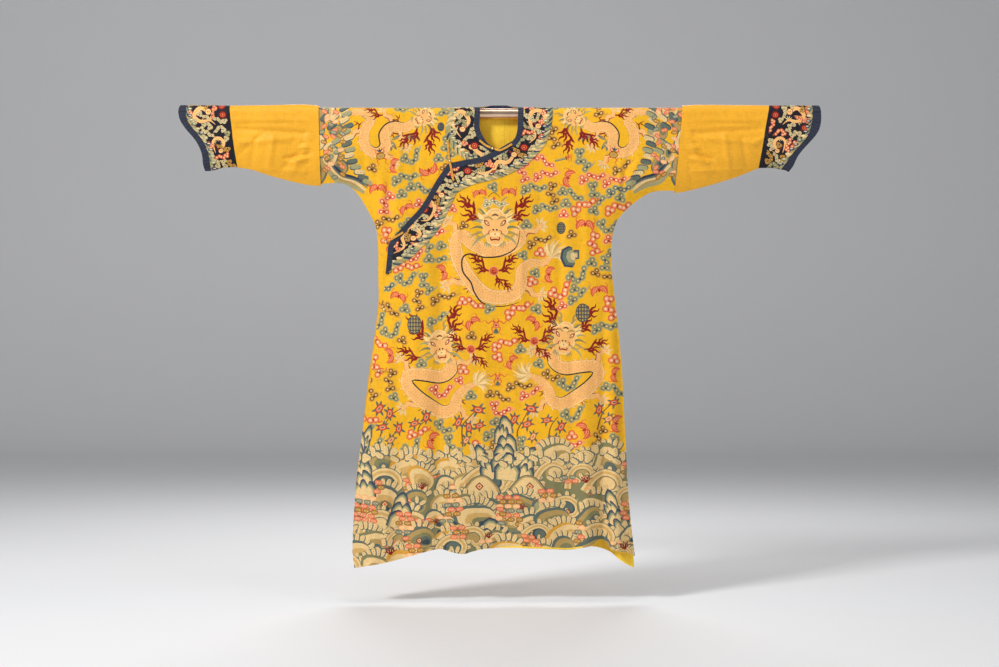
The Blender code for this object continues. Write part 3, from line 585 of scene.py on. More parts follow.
def cloud(pattern, x, s, size, turn, threads, form):
    """Pairs of round heads on a thin neck, each with a pale rim, a ring and a light dot."""
    rim, ring, middle_thread, dot = CLOUDS[threads]
    pairs = cloud_heads(x, s, size, turn, form)
    if len(pairs) > 1:
        pattern.add(ring, strand([middle for middle, _, _ in pairs], [size * 0.27], size * 1.1))
        middle, _, lean = pairs[-1]
        stroke(pattern, rim, CLOUD_WISP, (0.3, 0.22, 0.06), size * 0.7, *middle, size, lean)
    for thread, long, wide, corners in ((rim, 0.98, 0.88, 9), (ring, 0.66, 0.58, 8), (dot, 0.3, 0.26, 5)):
        for middle, heads, lean in pairs:
            if thread == dot:
                pattern.add(middle_thread, oval(*middle, size * 0.26, size * 0.42, lean, 5))
            for a, b in heads:
                pattern.add(thread, oval(a, b, size * long, size * wide, lean, corners))
    for _, heads, _ in pairs:
        for a, b in heads:
            pattern.take(a, b, size * 0.78)


BAT_WING = [
    (0.05, 0.5), (0.5, 0.72), (1.0, 0.6), (1.42, 0.3), (1.64, -0.2), (1.6, -0.75), (1.32, -1.2), (1.1, -0.8),
    (0.8, -0.5), (0.5, -0.55), (0.28, -0.3), (0.06, -0.4),
]
BAT_RIBS = ([(0.35, 0.42), (0.95, 0.15), (1.3, -0.8)], [(0.25, 0.2), (0.7, -0.1), (0.95, -0.55)])
BAT_CURL = [(1.5, 0.1), (1.66, 0.62), (1.5, 1.02), (1.22, 1.1)]


def bat(pattern, x, s, size, turn=0.0):
    """A bat with round ribbed wings, a curl over each and a dark body."""
    for mirror in (False, True):
        pose = (x, s, size, turn, mirror)
        stroke(pattern, "coral", BAT_CURL, (0.09, 0.04), size * 0.5, *pose)
        pattern.add("coral", turned(BAT_WING, *pose))
        for rib in BAT_RIBS:
            stroke(pattern, "coral_pale", rib, (0.06, 0.09, 0.03), size * 0.5, *pose)
    body, head = turned([(0, -0.02), (0, 0.32)], x, s, size, turn)
    pattern.add("red", oval(*body, size * 0.2, size * 0.55, turn, 9))
    pattern.add("coral_pale", oval(*head, size * 0.13, size * 0.15, turn, 6))
    pattern.take(x, s, size * 1.6)


FLAME_STEM = [(0.0, 0.0), (0.3, 0.24), (0.34, 0.56), (0.24, 0.9), (0.5, 1.14)]
# Tongues: where on the stem each starts, its lean and its length
FLAME_TONGUES = [
    ((0.26, 0.2), 6, 0.8), ((0.3, 0.26), 30, 0.98), ((0.33, 0.4), 52, 0.8), ((0.26, 0.8), 100, 0.5),
    ((0.4, 1.04), 14, 0.7), ((0.48, 1.12), 40, 0.86), ((0.5, 1.14), 64, 0.86), ((0.44, 1.1), 90, 0.62),
]
FLAME_WAVE = [(0.0, 0.0), (0.26, -0.1), (0.52, 0.1), (0.78, -0.08), (1.04, 0.05)]


def flame(pattern, x, s, size, turn, mirror=False):
    """Red flame hair: a winding stem with thin wavy tongues that rise from two places on it."""
    pose = (x, s, size, turn, mirror)
    for root, lean, length in FLAME_TONGUES:
        tongue = turned(FLAME_WAVE, *root, length, lean)
        stroke(pattern, "crimson", tongue, (0.075, 0.08, 0.07, 0.015), size * 0.2, *pose)
    stroke(pattern, "crimson", FLAME_STEM, (0.06, 0.09, 0.08, 0.07), size * 0.2, *pose)
    for place in ((0.5, 0.4), (0.7, 1.3)):
        pattern.take(*turned([place], *pose)[0], size * 0.42)


def pearl(pattern, x, s, size):
    """A pearl with a spiral and flames round it."""
    flame(pattern, x + size * 0.7, s, size * 2.6, -24)
    flame(pattern, x - size * 0.7, s, size * 2.6, 24, True)
    flame(pattern, x + size * 0.5, s - size * 0.7, size * 2.2, -110)
    pattern.add("coral_pale", oval(x, s, size, size, 0, 16))
    pattern.add("coral", oval(x, s, size * 0.84, size * 0.84, 0, 14))
    spiral = [
        (0.55 * t * math.cos(5.2 * t), 0.55 * t * math.sin(5.2 * t)) for t in (0.1, 0.35, 0.6, 0.85, 1.1)
    ]
    stroke(pattern, "crimson", spiral, (0.09, 0.12), size * 0.3, x, s, size)
    pattern.take(x, s, size * 1.5)


def leaf_spray(pattern, x, s, size, turns, thread="slate"):
    for turn in turns:
        pattern.add(thread, petal(x, s, size, size * 0.3, turn))


def blossom(pattern, x, s, size, turn, threads=("red", "coral", "coral_pale", "slate")):
    """A rounded flower in rings round a grey-blue heart, between narrow leaves."""
    leaf_spray(pattern, x, s, size * 2.2, [turn + a for a in (-20, 24, 62, 150, 196, 250)])
    sizes = ((1.35, 0.85), (1.12, 0.66), (0.8, 0.42), (0.5, 0.2))
    for thread, (long, wide) in zip(threads, sizes):
        pattern.add(thread, pill(x, s, size * long, size * wide, turn))
    pattern.take(x, s, size * 1.9)


def branch(pattern, points, blossoms):
    """A thin branch with blossoms given as columns x, s, size, turn."""
    pattern.add("bronze", strand(points, [2.6, 2.0, 1.2]))
    for row in blossoms:
        blossom(pattern, *row)


def axe(pattern, x, s, size):
    """A curved axe head, one of the robe's old emblems."""
    crescent = [
        (-0.1, 1.0), (-0.75, 0.75), (-1.0, 0.0), (-0.75, -0.85), (0.0, -1.05), (0.3, -0.7), (0.0, -0.4),
        (0.75, -0.3), (0.85, 0.5), (0.45, 0.55), (0.05, 0.45), (0.25, 0.8),
    ]
    for thread, shrink, shift in (
        ("blue", 1.0, 0.0), ("slate", 0.84, 0.06), ("sage", 0.6, 0.16), ("cream", 0.36, 0.3)
    ):
        inner = np.asarray(crescent) * shrink + (shift, 0.02)
        pattern.add(thread, turned(inner, x, s, size, 8))
    pattern.take(x, s, size * 1.3)


def ribbons(pattern, x, s, size, turn, routes):
    """Thin waving ribbons on both sides of a place."""
    for mirror in (False, True):
        for route in routes:
            stroke(pattern, "coral", route, (0.13, 0.1, 0.03), 5, x, s, size, turn, mirror)


def vase(pattern, x, s, size, turn=0.0):
    """A round pot with leaves and waving ribbons, one of the old emblems."""
    routes = (
        [(0.2, 0.5), (0.9, 0.8), (0.7, 1.4), (1.4, 1.7)],
        [(0.3, -0.5), (1.0, -0.9), (0.6, -1.5), (1.3, -2.0)],
    )
    ribbons(pattern, x, s, size, turn, routes)
    tones = {"bronze": 1.0, "bronze_pale": 0.8, "khaki": 0.5}
    nested_ovals(pattern, x, s, size * 0.95, size * 0.68, tones, turn, 14)
    pattern.add("bronze", pill(*turned([(0, 0.66)], x, s, size, turn)[0], size * 0.6, size * 0.14, turn))
    mouth = turned([(0, 0.8)], x, s, size, turn)[0]
    leaf_spray(pattern, *mouth, size * 0.9, [turn + 50, turn + 90, turn + 130], "blue")
    pattern.take(x, s, size * 1.6)


def blade(pattern, x, s, size, turn):
    """A short sword with a ribbon bow, one of the old emblems."""
    edge = [(-1.6, -0.06), (-1.4, -0.26), (0.5, -0.2), (0.5, 0.16), (-1.3, 0.1)]
    pattern.add("slate", turned(edge, x, s, size, turn))
    pattern.add("sage", turned(np.asarray(edge) * (0.9, 0.5), x, s, size, turn))
    pattern.add("bronze", pill(*turned([(0.6, 0)], x, s, size, turn)[0], size * 0.42, size * 0.12, turn + 90))
    stroke(pattern, "bronze", [(0.6, 0), (1.3, 0.1)], (0.13,), 6, x, s, size, turn)
    bow = ([(0.0, 0.0), (0.5, 0.5), (0.8, 0.1), (0.1, -0.1)], [(0, 0), (0.5, -0.5), (0.2, -1.1), (0.6, -1.6)])
    ribbons(pattern, *turned([(1.2, 0.1)], x, s, size, turn)[0], size * 0.7, turn, bow)
    pattern.take(x, s, size * 1.5)


def hanging_knot(pattern, x, s, size):
    """A blossom with a tassel and ribbons that hangs over the middle seam."""
    routes = (
        [(0, 0.1), (0.7, 0.8), (1.4, 0.3), (2.0, 0.9), (2.6, 0.5)],
        [(0, -0.1), (0.8, -0.5), (0.5, -1.2), (1.2, -1.8)],
        [(0.1, 0.4), (0.5, 1.1), (0.1, 1.2)],
    )
    ribbons(pattern, x, s, size, 0, routes)
    tones = {"coral": 1.0, "coral_pale": 0.72, "crimson": 0.36}
    nested_ovals(pattern, x, s, size * 0.62, size * 0.5, tones, 0, 12)
    leaf_spray(pattern, x, s - size * 0.5, size * 1.2, (-70, -90, -110), "slate")
    pattern.take(x, s, size * 2.0)


def lattice_disc(pattern, x, s, half_x, half_s):
    """An oval disc with a plain crossed lattice."""
    nested_ovals(pattern, x, s, half_x, half_s, {"slate_deep": 1.0, "khaki": 0.88}, 0, 22)
    for share in (-0.6, -0.2, 0.2, 0.6):
        reach = math.sqrt(1 - share**2) * 0.9
        upright = [(x + share * half_x, s - reach * half_s), (x + share * half_x, s + reach * half_s)]
        level = [(x - reach * half_x, s + share * half_s), (x + reach * half_x, s + share * half_s)]
        for bar in (upright, level):
            pattern.add("slate_deep", strand(bar, [1.7], 12))
    pattern.take(x, s, max(half_x, half_s) * 1.15)


# Dragons: a body along a route, then legs, tail and head

LEG = [(0, 0), (0.55, 0.25), (0.95, -0.05), (1.35, 0.1)]
# Lines on a leg: their points, half widths and step
LEG_LINES = [
    ([(0.1, -0.2), (0.5, 0.08), (0.86, -0.2)], (0.015, 0.035, 0.015), 7),
    ([(0.3, 0.3), (0.1, 0.75), (0.4, 1.05)], (0.07, 0.02), 6),
    ([(0.14, 0.62), (-0.25, 0.78)], (0.06, 0.015), 6),
    ([(0.2, 0.8), (0.55, 0.72)], (0.06, 0.015), 6),
]


def claw(pattern, x, s, size, turn, mirror=False):
    """A scaled leg that ends in a foot with five claws, with red hair at its elbow."""
    pose = (x, s, size, turn, mirror)
    for thread, extra in (("peach_deep", 1.3), ("peach", 0)):
        widths = [size * 0.27 + extra, size * 0.2 + extra, size * 0.13 + extra]
        pattern.add(thread, strand(turned(LEG, *pose), widths, 8))
    foot = turned([(1.4, 0.1)], *pose)[0]
    way = 180 + turn if mirror else turn
    for lean in (-76, -38, 0, 38, 78):
        pattern.add("cream", petal(*foot, size * 0.62, size * 0.19, way + lean))
    for lean in (-57, -19, 19, 58):
        pattern.add("peach_deep", petal(*foot, size * 0.34, size * 0.08, way + lean, 3))
    pattern.add("peach", oval(*foot, size * 0.17, size * 0.15, 0, 8))
    for line, widths, step in LEG_LINES:
        stroke(pattern, "crimson", line, widths, step, *pose)
    pattern.take(*foot, size * 0.5)


def across(line):
    """Unit ways along a line and to its left."""
    way = np.gradient(line, axis=0)
    way /= np.hypot(*way.T)[:, None]
    return way, np.column_stack([-way[:, 1], way[:, 0]])


def scales(pattern, line, half):
    """Rows of small bent scale marks across a body, every second row shifted."""
    way, side = across(line)
    for row in range(2, len(line) - 2):
        count = max(1, round(half[row] / 5.5))
        for k in range(count):
            reach = (k + 0.5 + (0.5 if row % 2 else 0) - count / 2 - 0.25) * 2 * half[row] / (count + 0.8)
            if abs(reach) > half[row] * 0.84:
                continue
            half_mark = half[row] / (count + 0.8) * 0.8
            a = line[row] + side[row] * (reach - half_mark) + way[row] * 2.6
            b = line[row] + side[row] * reach - way[row] * 1.8
            c = line[row] + side[row] * (reach + half_mark) + way[row] * 2.6
            d = line[row] + side[row] * reach + way[row] * 0.4
            pattern.add("peach_deep" if (row + k) % 5 else "coral_pale", np.array([a, b, c, d]))


def dragon_body(pattern, route, widths, belly_side=1, belly=None):
    """The long body: back spines, a deep rim, peach scales and a dark line along a part of the belly."""
    line = curve(route, 8.0)
    half = np.interp(np.linspace(0, 1, len(line)), np.linspace(0, 1, len(widths)), widths)
    way, side = across(line)
    out = side * -belly_side
    back = line + out * half[:, None]
    for row in range(1, len(line) - 3, 2):
        tip = back[row] + out[row] * (4 + half[row] * 0.22) - way[row] * 5
        spine = [back[row] - out[row] * 2, tip, back[row + 1] - out[row + 1] * 2]
        pattern.add("cream" if row % 4 == 1 else "peach_pale", np.array(spine))
    pattern.add("peach_deep", strand(route, [w + 1.2 for w in widths]))
    pattern.add("peach_pale", strand(route, [w - 0.4 for w in widths]))
    pattern.add("peach", strand(route, [w * 0.86 for w in widths]))
    scales(pattern, line, half)
    if belly:
        part = slice(*(int(len(line) * share) for share in belly))
        edge = (line + side * (half * belly_side)[:, None])[part]
        pattern.add("ink", strand(edge[::2], [0.6, 2.0, 2.2, 2.0, 0.6]))
    for a, b, r in zip(line[::3, 0], line[::3, 1], half[::3]):
        pattern.take(a, b, r)


def tail_fan(pattern, x, s, size, turn):
    """The feathered end of a tail."""
    for i, lean in enumerate(np.linspace(-70, 70, 11)):
        thread = ("peach_pale", "cream", "sand")[i % 3]
        length = size * (1.2 - abs(lean) / 170)
        bend = [(0, 0), (length * 0.5, size * 0.09), (length, -size * 0.07)]
        feather = turned(bend, x, s, 1, turn + lean)
        pattern.add(thread, strand(feather, [size * 0.07, size * 0.08, size * 0.015], 8))
    pattern.take(*turned([(size * 0.5, 0)], x, s, 1, turn)[0], size * 0.5)


HEAD_MASK = [
    (0.0, 0.98), (0.2, 0.9), (0.32, 1.02), (0.5, 0.8), (0.72, 0.74), (0.66, 0.44), (0.82, 0.2), (0.66, 0.0),
    (0.74, -0.24), (0.52, -0.5), (0.46, -0.82), (0.2, -0.98), (0.0, -1.0),
]


def mirrored_outline(half):
    """A closed outline from its right half, top to bottom."""
    half = np.asarray(half, float)
    return np.concatenate([half, (half * (-1, 1))[::-1][1:-1]])


def dragon_head(pattern, x, s, size, turn=0.0):
    """A dragon's face seen from the front, with horns, mane, brows, whiskers and beard."""

    def put(thread, points, mirror=False):
        pattern.add(thread, turned(points, x, s, size, turn, mirror))

    for mirror in (False, True):
        for i, lean in enumerate((-34, -16, 2, 18, 34, 50)):
            lock = turned([(0, 0), (0.6, 0.1), (1.15 - i * 0.06, -0.08)], 0.5, -0.45 + i * 0.2, 1, lean)
            put(("sage", "khaki", "moss")[i % 3], strand(lock, [0.09, 0.08, 0.015], 0.2), mirror)
        horn = [(0.2, 0.9), (0.46, 1.3), (0.4, 1.62), (0.74, 1.9)]
        put("khaki", strand(horn, [0.1, 0.09, 0.03], 0.18), mirror)
        put("khaki", strand([(0.44, 1.36), (0.8, 1.48)], [0.07, 0.02], 0.18), mirror)
        put("peach_pale", [(0.56, 0.6), (1.1, 0.98), (0.98, 0.5), (0.66, 0.26)], mirror)
        for lean in (-100, -82, -64, -46):
            beard = turned([(0, 0), (0.3, 0.05), (0.5, -0.06)], 0.34, -0.72, 1, lean)
            put("khaki" if lean % 4 else "sage", strand(beard, [0.06, 0.05, 0.015], 0.16), mirror)
    for i in range(10):
        spike = (i + 1) * 12 if i < 5 else 180 - (i - 4) * 12
        put(("peach_pale", "khaki")[i % 2], petal(0, 0.3, 1.36, 0.1, spike, 4))
    put("peach_pale", oval(0, 0.72, 0.56, 0.5, 0, 16))
    put("peach", oval(0, 0.7, 0.5, 0.45, 0, 16))
    put("peach_pale", mirrored_outline(np.asarray(HEAD_MASK) * 1.07))
    put("peach", mirrored_outline(HEAD_MASK))
    for level in (0.66, 0.98):
        wrinkle = [(-0.3, level - 0.12), (0, level), (0.3, level - 0.12)]
        put("peach_pale", strand(wrinkle, [0.02, 0.04, 0.02], 0.15))
    put("peach_pale", oval(0, -0.4, 0.32, 0.15, 0, 12))
    for mirror in (False, True):
        put("khaki", strand([(0.14, 0.5), (0.4, 0.66), (0.7, 0.56)], [0.04, 0.07, 0.02], 0.14), mirror)
        put("crimson", petal(0.34, 0.1, 0.52, 0.24, 50, 6), mirror)
        put("peach_pale", petal(0.38, 0.16, 0.33, 0.13, 50, 5), mirror)
        put("crimson", oval(0.45, 0.25, 0.035, 0.045, 0, 5), mirror)
        put("ink", oval(0.11, -0.12, 0.06, 0.06, 0, 7), mirror)
        put("red", strand([(0.26, -0.16), (0.4, -0.22), (0.36, -0.42)], [0.015, 0.035, 0.02], 0.14), mirror)
        whisker = [(0.4, -0.34), (0.9, -0.6), (1.3, -0.36), (1.7, -0.6)]
        put("khaki", strand(whisker, [0.05, 0.045, 0.01], 0.2), mirror)
    mouth = [(-0.25, -0.56), (-0.27, -0.74), (0.0, -0.7), (0.27, -0.74), (0.25, -0.56)]
    put("crimson", strand(mouth, [0.03, 0.045, 0.045, 0.045, 0.03], 0.12))
    put("coral", oval(0, -0.38, 0.05, 0.06, 0, 6))
    put("ink", strand([(-0.2, 0.72), (-0.07, 0.8), (0.07, 0.8), (0.2, 0.72)], [0.02, 0.05, 0.05, 0.02], 0.1))
    pattern.take(x, s, size * 1.35)


# Waves, rocks and the borders


def finger(pattern, x, s, length, width, turn, threads=("slate", "cream")):
    """A foam finger: dark rim, pale fill and a row of dots."""
    pattern.add(threads[0], pill(x, s, length / 2, width / 2, turn))
    lit = turned([(width * 0.08, width * 0.12)], x, s, 1, turn)[0]
    pattern.add(threads[1], pill(*lit, length / 2 - 1.7, width / 2 - 1.7, turn))
    for k in (-0.12, 0.1, 0.3):
        spot = turned([(k * length, width * 0.05)], x, s, 1, turn)[0]
        pattern.add("moss", oval(*spot, 1.7, 1.1, turn + 70, 4))


BREAKER = [
    (-1.7, -0.7), (-1.2, 0.3), (-0.4, 0.9), (0.5, 0.8), (0.95, 0.2), (0.7, -0.4), (0.1, -0.5), (-0.1, 0.0),
]


def breaker(pattern, x, s, size, turn, mirror):
    """A curled wave head: a cream hook with dark edges, shaded inside, with foam along its back."""
    hook = turned(BREAKER, x, s, size, turn, mirror)
    for i, (a, b) in enumerate(hook[1:5]):
        way = math.degrees(math.atan2(b - s, a - x))
        finger(pattern, a + (a - x) * 0.32, b + (b - s) * 0.32, 26, 15, way)
        mid = (hook[1 + i] + hook[2 + i]) / 2
        way = math.degrees(math.atan2(mid[1] - s, mid[0] - x))
        finger(pattern, *(mid + (mid - (x, s)) * 0.34), 26, 15, way)
    deep, light = (("slate_deep", "slate"), ("moss", "khaki"), ("khaki", "cream"))[int(size * 10) % 3]
    pattern.add(deep, oval(x, s, size * 0.85, size * 0.7, turn, 14))
    pattern.add(light, oval(x, s + size * 0.1, size * 0.6, size * 0.5, turn, 12))
    for thread, wide in (("slate", 0.3), ("cream", 0.25), ("sand", 0.09)):
        widths = [size * wide * 1.3, size * wide, size * wide, size * wide * 0.45]
        pattern.add(thread, strand(hook, widths, size * 0.3))


def foam_fan(pattern, x, s, reach, first, last, size=1.0):
    """Foam fingers close together round the crest of a wave."""
    count = max(2, round(reach * math.radians(abs(last - first)) / (13.0 * size)))
    for angle in np.linspace(first, last, count):
        way = math.radians(angle)
        a, b = x + reach * math.cos(way), s + reach * math.sin(way)
        finger(pattern, a, b, 28 * size, 15.5 * size, angle)


WAVE_TONES = [
    ("slate", "cream", "sand", "moss", "slate_deep"),
    ("moss", "cream", "khaki", "slate", "blue"),
    ("khaki", "cream", "sand", "khaki", "moss"),
    ("slate", "khaki", "moss", "slate", "slate_deep"),
    ("bronze_pale", "cream", "sand", "khaki", "moss"),
    ("slate", "sage", "cream", "sand", "khaki"),
]
WAVE_SHARES = (1.0, 0.92, 0.66, 0.44, 0.26)


def wave_dome(pattern, x, s, reach, turn, tones):
    """A rolling wave as uneven bands inside each other that lean to one side."""
    angles = np.linspace(0, 2 * math.pi, 18, endpoint=False)
    bend = 1 + 0.13 * np.sin(2 * angles + x) + 0.09 * np.sin(3 * angles + s)
    ring = np.column_stack([np.cos(angles), 0.78 * np.sin(angles)]) * bend[:, None]
    for i, (tone, share) in enumerate(zip(tones, WAVE_SHARES)):
        pattern.add(tone, turned(ring * share + (0.1 * i, -0.1 * i), x, s, reach, turn))


RING_THREADS = ["coral", "bronze", "rose", "slate", "coral", "bronze", "coral"]
RING_TONES = {
    "coral": ("coral", "coral_pale"), "bronze": ("bronze", "bronze_pale"), "slate": ("slate", "sage"),
    "rose": ("coral_pale", "peach_pale"),
}


def ring_pair(pattern, x, s, size, turn, thread):
    """Two linked cloud rings."""
    outer, inner = RING_TONES[thread]
    pattern.add(outer, pill(x, s, size * 1.4, size * 0.82, turn))
    pattern.add(inner, pill(x, s, size * 1.12, size * 0.54, turn))
    for side in (-1, 1):
        spot = turned([(side * size * 0.5, 0)], x, s, 1, turn)[0]
        pattern.add(outer, oval(*spot, size * 0.4, size * 0.36, turn, 7))
        pattern.add("ivory", oval(*spot, size * 0.22, size * 0.2, turn, 5))


def ring_rows(pattern, x, s, columns, rows, size, turn, first=0):
    """Rows of linked rings, one thread a row."""
    for row in range(rows):
        for column in range(columns):
            shift = (column - (columns - 1) / 2) * size * 3.05 + (row % 2) * size * 1.1
            spot = turned([(shift, -row * size * 1.62)], x, s, 1, turn)[0]
            ring_pair(pattern, *spot, size, turn, RING_THREADS[(row + first) % len(RING_THREADS)])


def crag(width, height, teeth):
    """Outline of a rock layer with rounded teeth along its top."""
    top = []
    for i in range(teeth * 4 + 1):
        share = i / (teeth * 4)
        lobe = abs(math.sin(share * teeth * math.pi)) ** 0.5
        bow = math.sin(share * math.pi)
        top.append((width * (share - 0.5), height * (0.3 * bow + 0.48 * lobe * (0.6 + 0.4 * bow))))
    return np.array([*top, (width * 0.46, -height), (-width * 0.46, -height)])


ROCK_TONES = (("blue", 1.0, 0), ("slate", 0.92, -0.1), ("sage", 0.82, -0.2), ("cream", 0.7, -0.32))


def rock(pattern, x, s, width, layers, step, turn=0.0, seed=0):
    """A leaning peak of stacked rock layers: dark blue rim, grey and cream."""
    chance = random.Random(seed)
    for layer in range(layers):
        spot = turned([(chance.uniform(-0.12, 0.12) * width, -layer * step)], x, s, 1, turn)[0]
        wide = width * (0.3 + 0.7 * (layer + 1) / layers) * chance.uniform(0.86, 1.12)
        teeth = 1 if layer == 0 else chance.choice((2, 3))
        lean = turn + chance.uniform(-14, 14)
        for thread, shrink, drop in ROCK_TONES:
            shape = crag(wide * shrink, step * 1.25 * shrink, teeth) + (0, drop * step)
            pattern.add(thread, turned(shape, *spot, 1, lean))


def coral_twig(pattern, x, s, size):
    """A dark red coral branch with forked arms."""
    for turn in (42.0, 72.0, 104.0, 134.0):
        pose = (x, s, size, turn)
        stroke(pattern, "crimson", [(0, 0), (0.5, 0.1), (1, -0.06)], (0.09, 0.08, 0.04), 8, *pose)
        stroke(pattern, "crimson", [(0.5, 0.1), (0.8, 0.36)], (0.07, 0.03), 8, *pose)


def lozenge(pattern, x, s, size):
    """Plain lozenges inside each other."""
    nested_ovals(pattern, x, s, size, size, {"crimson": 1.0, "cream": 0.66, "coral": 0.36}, 0, 4)


WAVE_REACH = 58.0


def sea(pattern, levels, x_from, x_to, seed):
    """Rows of rolling waves of uneven size with foam, ring clouds and coral between them."""
    chance = random.Random(seed)
    for level in levels:
        x = x_from + chance.uniform(0, WAVE_REACH)
        while x < x_to:
            wide = WAVE_REACH * chance.uniform(0.7, 1.25)
            a = x + chance.uniform(-0.2, 0.2) * WAVE_REACH
            b = level + chance.uniform(-0.4, 0.3) * WAVE_REACH
            turn = chance.choice((-38, -16, 8, 30))
            first = chance.uniform(20, 60)
            if chance.random() < 0.27:
                breaker(pattern, a, b, wide * 0.62, chance.uniform(-25, 25), chance.random() < 0.5)
            else:
                foam_fan(pattern, a, b - wide * 0.1, wide * 0.92, first, first + chance.uniform(60, 95))
                wave_dome(pattern, a, b, wide * 0.84, turn, chance.choice(WAVE_TONES))
            kind = chance.random()
            if kind < 0.42:
                foam_fan(pattern, a + wide * 0.1, b - wide * 0.42, wide * 0.4, 30, 150, 0.9)
            elif kind < 0.52:
                coral_twig(pattern, a, b - wide * 0.3, wide * 0.4)
            elif kind < 0.6:
                lozenge(pattern, a, b - wide * 0.2, wide * 0.2)
            rows = chance.choice((2, 3, 4))
            side = chance.choice((-0.8, 0.8))
            columns = chance.choice((1, 2))
            lean = chance.uniform(-12, 12)
            ring_rows(pattern, a + side * wide, b - wide * 0.1, columns, rows, 7.6, lean, chance.randrange(7))
            x += wide * 1.5


CLOUD_ROUNDS = ((0, 1, 4), (0, 1, 4, 2), (2, 3), (5,))
BODY_CLOUDS = {"slate": 46, "coral": 18, "rose": 14, "bronze": 18, "blue": 4}
BAND_CLOUDS = {"pale": 46, "rose": 14, "coral": 12, "slate": 18, "bronze": 10}


def fill_with_clouds(pattern, zone, seed, size=11.6, shares=None, steps=(12.0, 10.0), lean=32):
    """Clouds wherever a zone is still free, the long ones first."""
    chance = random.Random(seed)
    shares = shares or BODY_CLOUDS
    low, high = zone.min(axis=0), zone.max(axis=0)
    spots = np.array([
        (x + chance.uniform(-0.5, 0.5) * steps[0], s + chance.uniform(-0.4, 0.4) * steps[1])
        for s in np.arange(high[1], low[1], -steps[1]) for x in np.arange(low[0], high[0], steps[0])
    ])
    spots = spots[covers(zone, spots)]
    for forms in CLOUD_ROUNDS:
        for x, s in spots:
            form, turn = chance.choice(forms), chance.uniform(-lean, lean)
            heads = np.concatenate([pair[1] for pair in cloud_heads(x, s, size, turn, form)])
            if all(pattern.is_free(a, b, size * 0.82) for a, b in heads):
                threads = chance.choices(list(shares), list(shares.values()))[0]
                cloud(pattern, x, s, size * chance.uniform(0.95, 1.05), turn, threads, form)


# Layout of the woven pattern, in the cut's millimetres


def placer(x0, s0, side):
    """Turns places drawn for side 1 into places on the cloth; side -1 mirrors them."""

    def at(x, s):
        return (x0 + x * side, s0 + s)

    return at


def lean_of(turn, side):
    """A turn as drawn for side 1, mirrored left to right for side -1."""
    return 90 - side * (90 - turn)


def draw_limbs(pattern, draw, at, side, rows):
    """Claws or flames as columns x, s, size, turn, with a fifth one where the form is flipped."""
    for x, s, size, turn, *flipped in rows:
        draw(pattern, *at(x, s), size, turn * side, (side > 0) == bool(flipped))


CHEST_ROUTE = [
    (48, -352), (66, -386), (30, -414), (-30, -424), (-84, -400), (-116, -372), (-134, -404), (-118, -462),
    (-74, -530), (-24, -562), (40, -558), (66, -524), (68, -484), (96, -460), (136, -458), (162, -436),
]
CHEST_CLAWS = [(-104, -372, 44, 140), (-98, -500, 46, 200), (72, -384, 46, 32), (62, -540, 46, -18)]
CHEST_LINE = [
    (64, -361), (53, -410), (10, -437), (-44, -442), (-90, -432), (-112, -446), (-110, -486), (-86, -519),
    (-74, -552), (-46, -584), (10, -592), (62, -580),
]
CHEST_FLAMES = [(-52, -330, 50, 16, "flipped"), (28, -330, 50, -16)]


def chest_dragon(pattern, side=1, lift=0.0):
    """The large dragon on the chest, seen from the front, coiled round its pearl."""
    at = placer(-6 * (1 - side), lift, side)
    pattern.take(*at(-12, -352), 66)
    draw_limbs(pattern, claw, at, side, CHEST_CLAWS)
    widths = [14, 18, 19, 19, 18, 17, 19, 21, 22, 22, 21, 20, 18, 15, 11, 6]
    dragon_body(pattern, [at(*p) for p in CHEST_ROUTE], widths)
    pattern.add("ink", strand([at(*p) for p in CHEST_LINE], [0.8, 2.2, 2.4, 2.4, 2.2, 0.8], 7))
    tail_fan(pattern, *at(158, -440), 52, lean_of(52, side))
    draw_limbs(pattern, flame, at, side, CHEST_FLAMES)
    pearl(pattern, *at(-16, -484), 15)
    dragon_head(pattern, *at(-12, -352), 50)
    if lift == 0:
        cloud(pattern, *at(-14, -278), 10, 0, "pale", 0)
        pattern.add("coral", oval(*at(-15, -262), 5, 5, 0, 8))
        pattern.add("ink", strand([at(-34, -258), at(-16, -244), at(2, -258)], [0.8, 1.1, 0.8], 6))


LOWER_ROUTE = [
    (22, -30), (34, -66), (2, -90), (-50, -84), (-94, -84), (-104, -110), (-76, -146), (-34, -178),
    (6, -198), (40, -186), (50, -152), (76, -126), (112, -108),
]
LOWER_CLAWS = [(-78, -76, 42, 134), (40, -62, 42, 20), (-62, -156, 42, 206), (40, -188, 42, -34)]
LOWER_FLAMES = [(-34, 22, 50, 12, "flipped"), (14, 38, 50, 4), (-60, -30, 38, 44, "flipped")]


def lower_dragon(pattern, x, s, side):
    """A dragon of the lower pair. Side is 1 for the one on the left as it is seen, or -1."""
    at = placer(x, s, side)
    draw_limbs(pattern, claw, at, side, LOWER_CLAWS)
    widths = [14, 18, 19, 19, 18, 18, 20, 21, 20, 18, 15, 11, 6]
    dragon_body(pattern, [at(*p) for p in LOWER_ROUTE], widths, side, (0.05, 0.8))
    tail_fan(pattern, *at(108, -112), 48, lean_of(28, side))
    draw_limbs(pattern, flame, at, side, LOWER_FLAMES)
    dragon_head(pattern, *at(0, 0), 44, 8 * side)
    pearl(pattern, *at(92, -6), 14)


SHOULDER_ROUTE = [
    (252, -20), (286, -44), (326, -40), (352, -66), (348, -104), (380, -122), (412, -96), (410, -52),
    (392, -20), (420, 4), (470, -2),
]
SHOULDER_CLAWS = [(300, -50, 38, -110), (350, -108, 38, -125), (416, -58, 38, -20), (330, -36, 36, 60)]
SHOULDER_LEAVES = [
    (262, -60, (-130, -100, -70, -40)), (330, -84, (-120, -90, 150)), (396, -20, (60, 100, 30)),
]
SHOULDER_FLAMES = [(216, -36, 44, -158), (250, -44, 40, -112), (356, -6, 30, -40)]


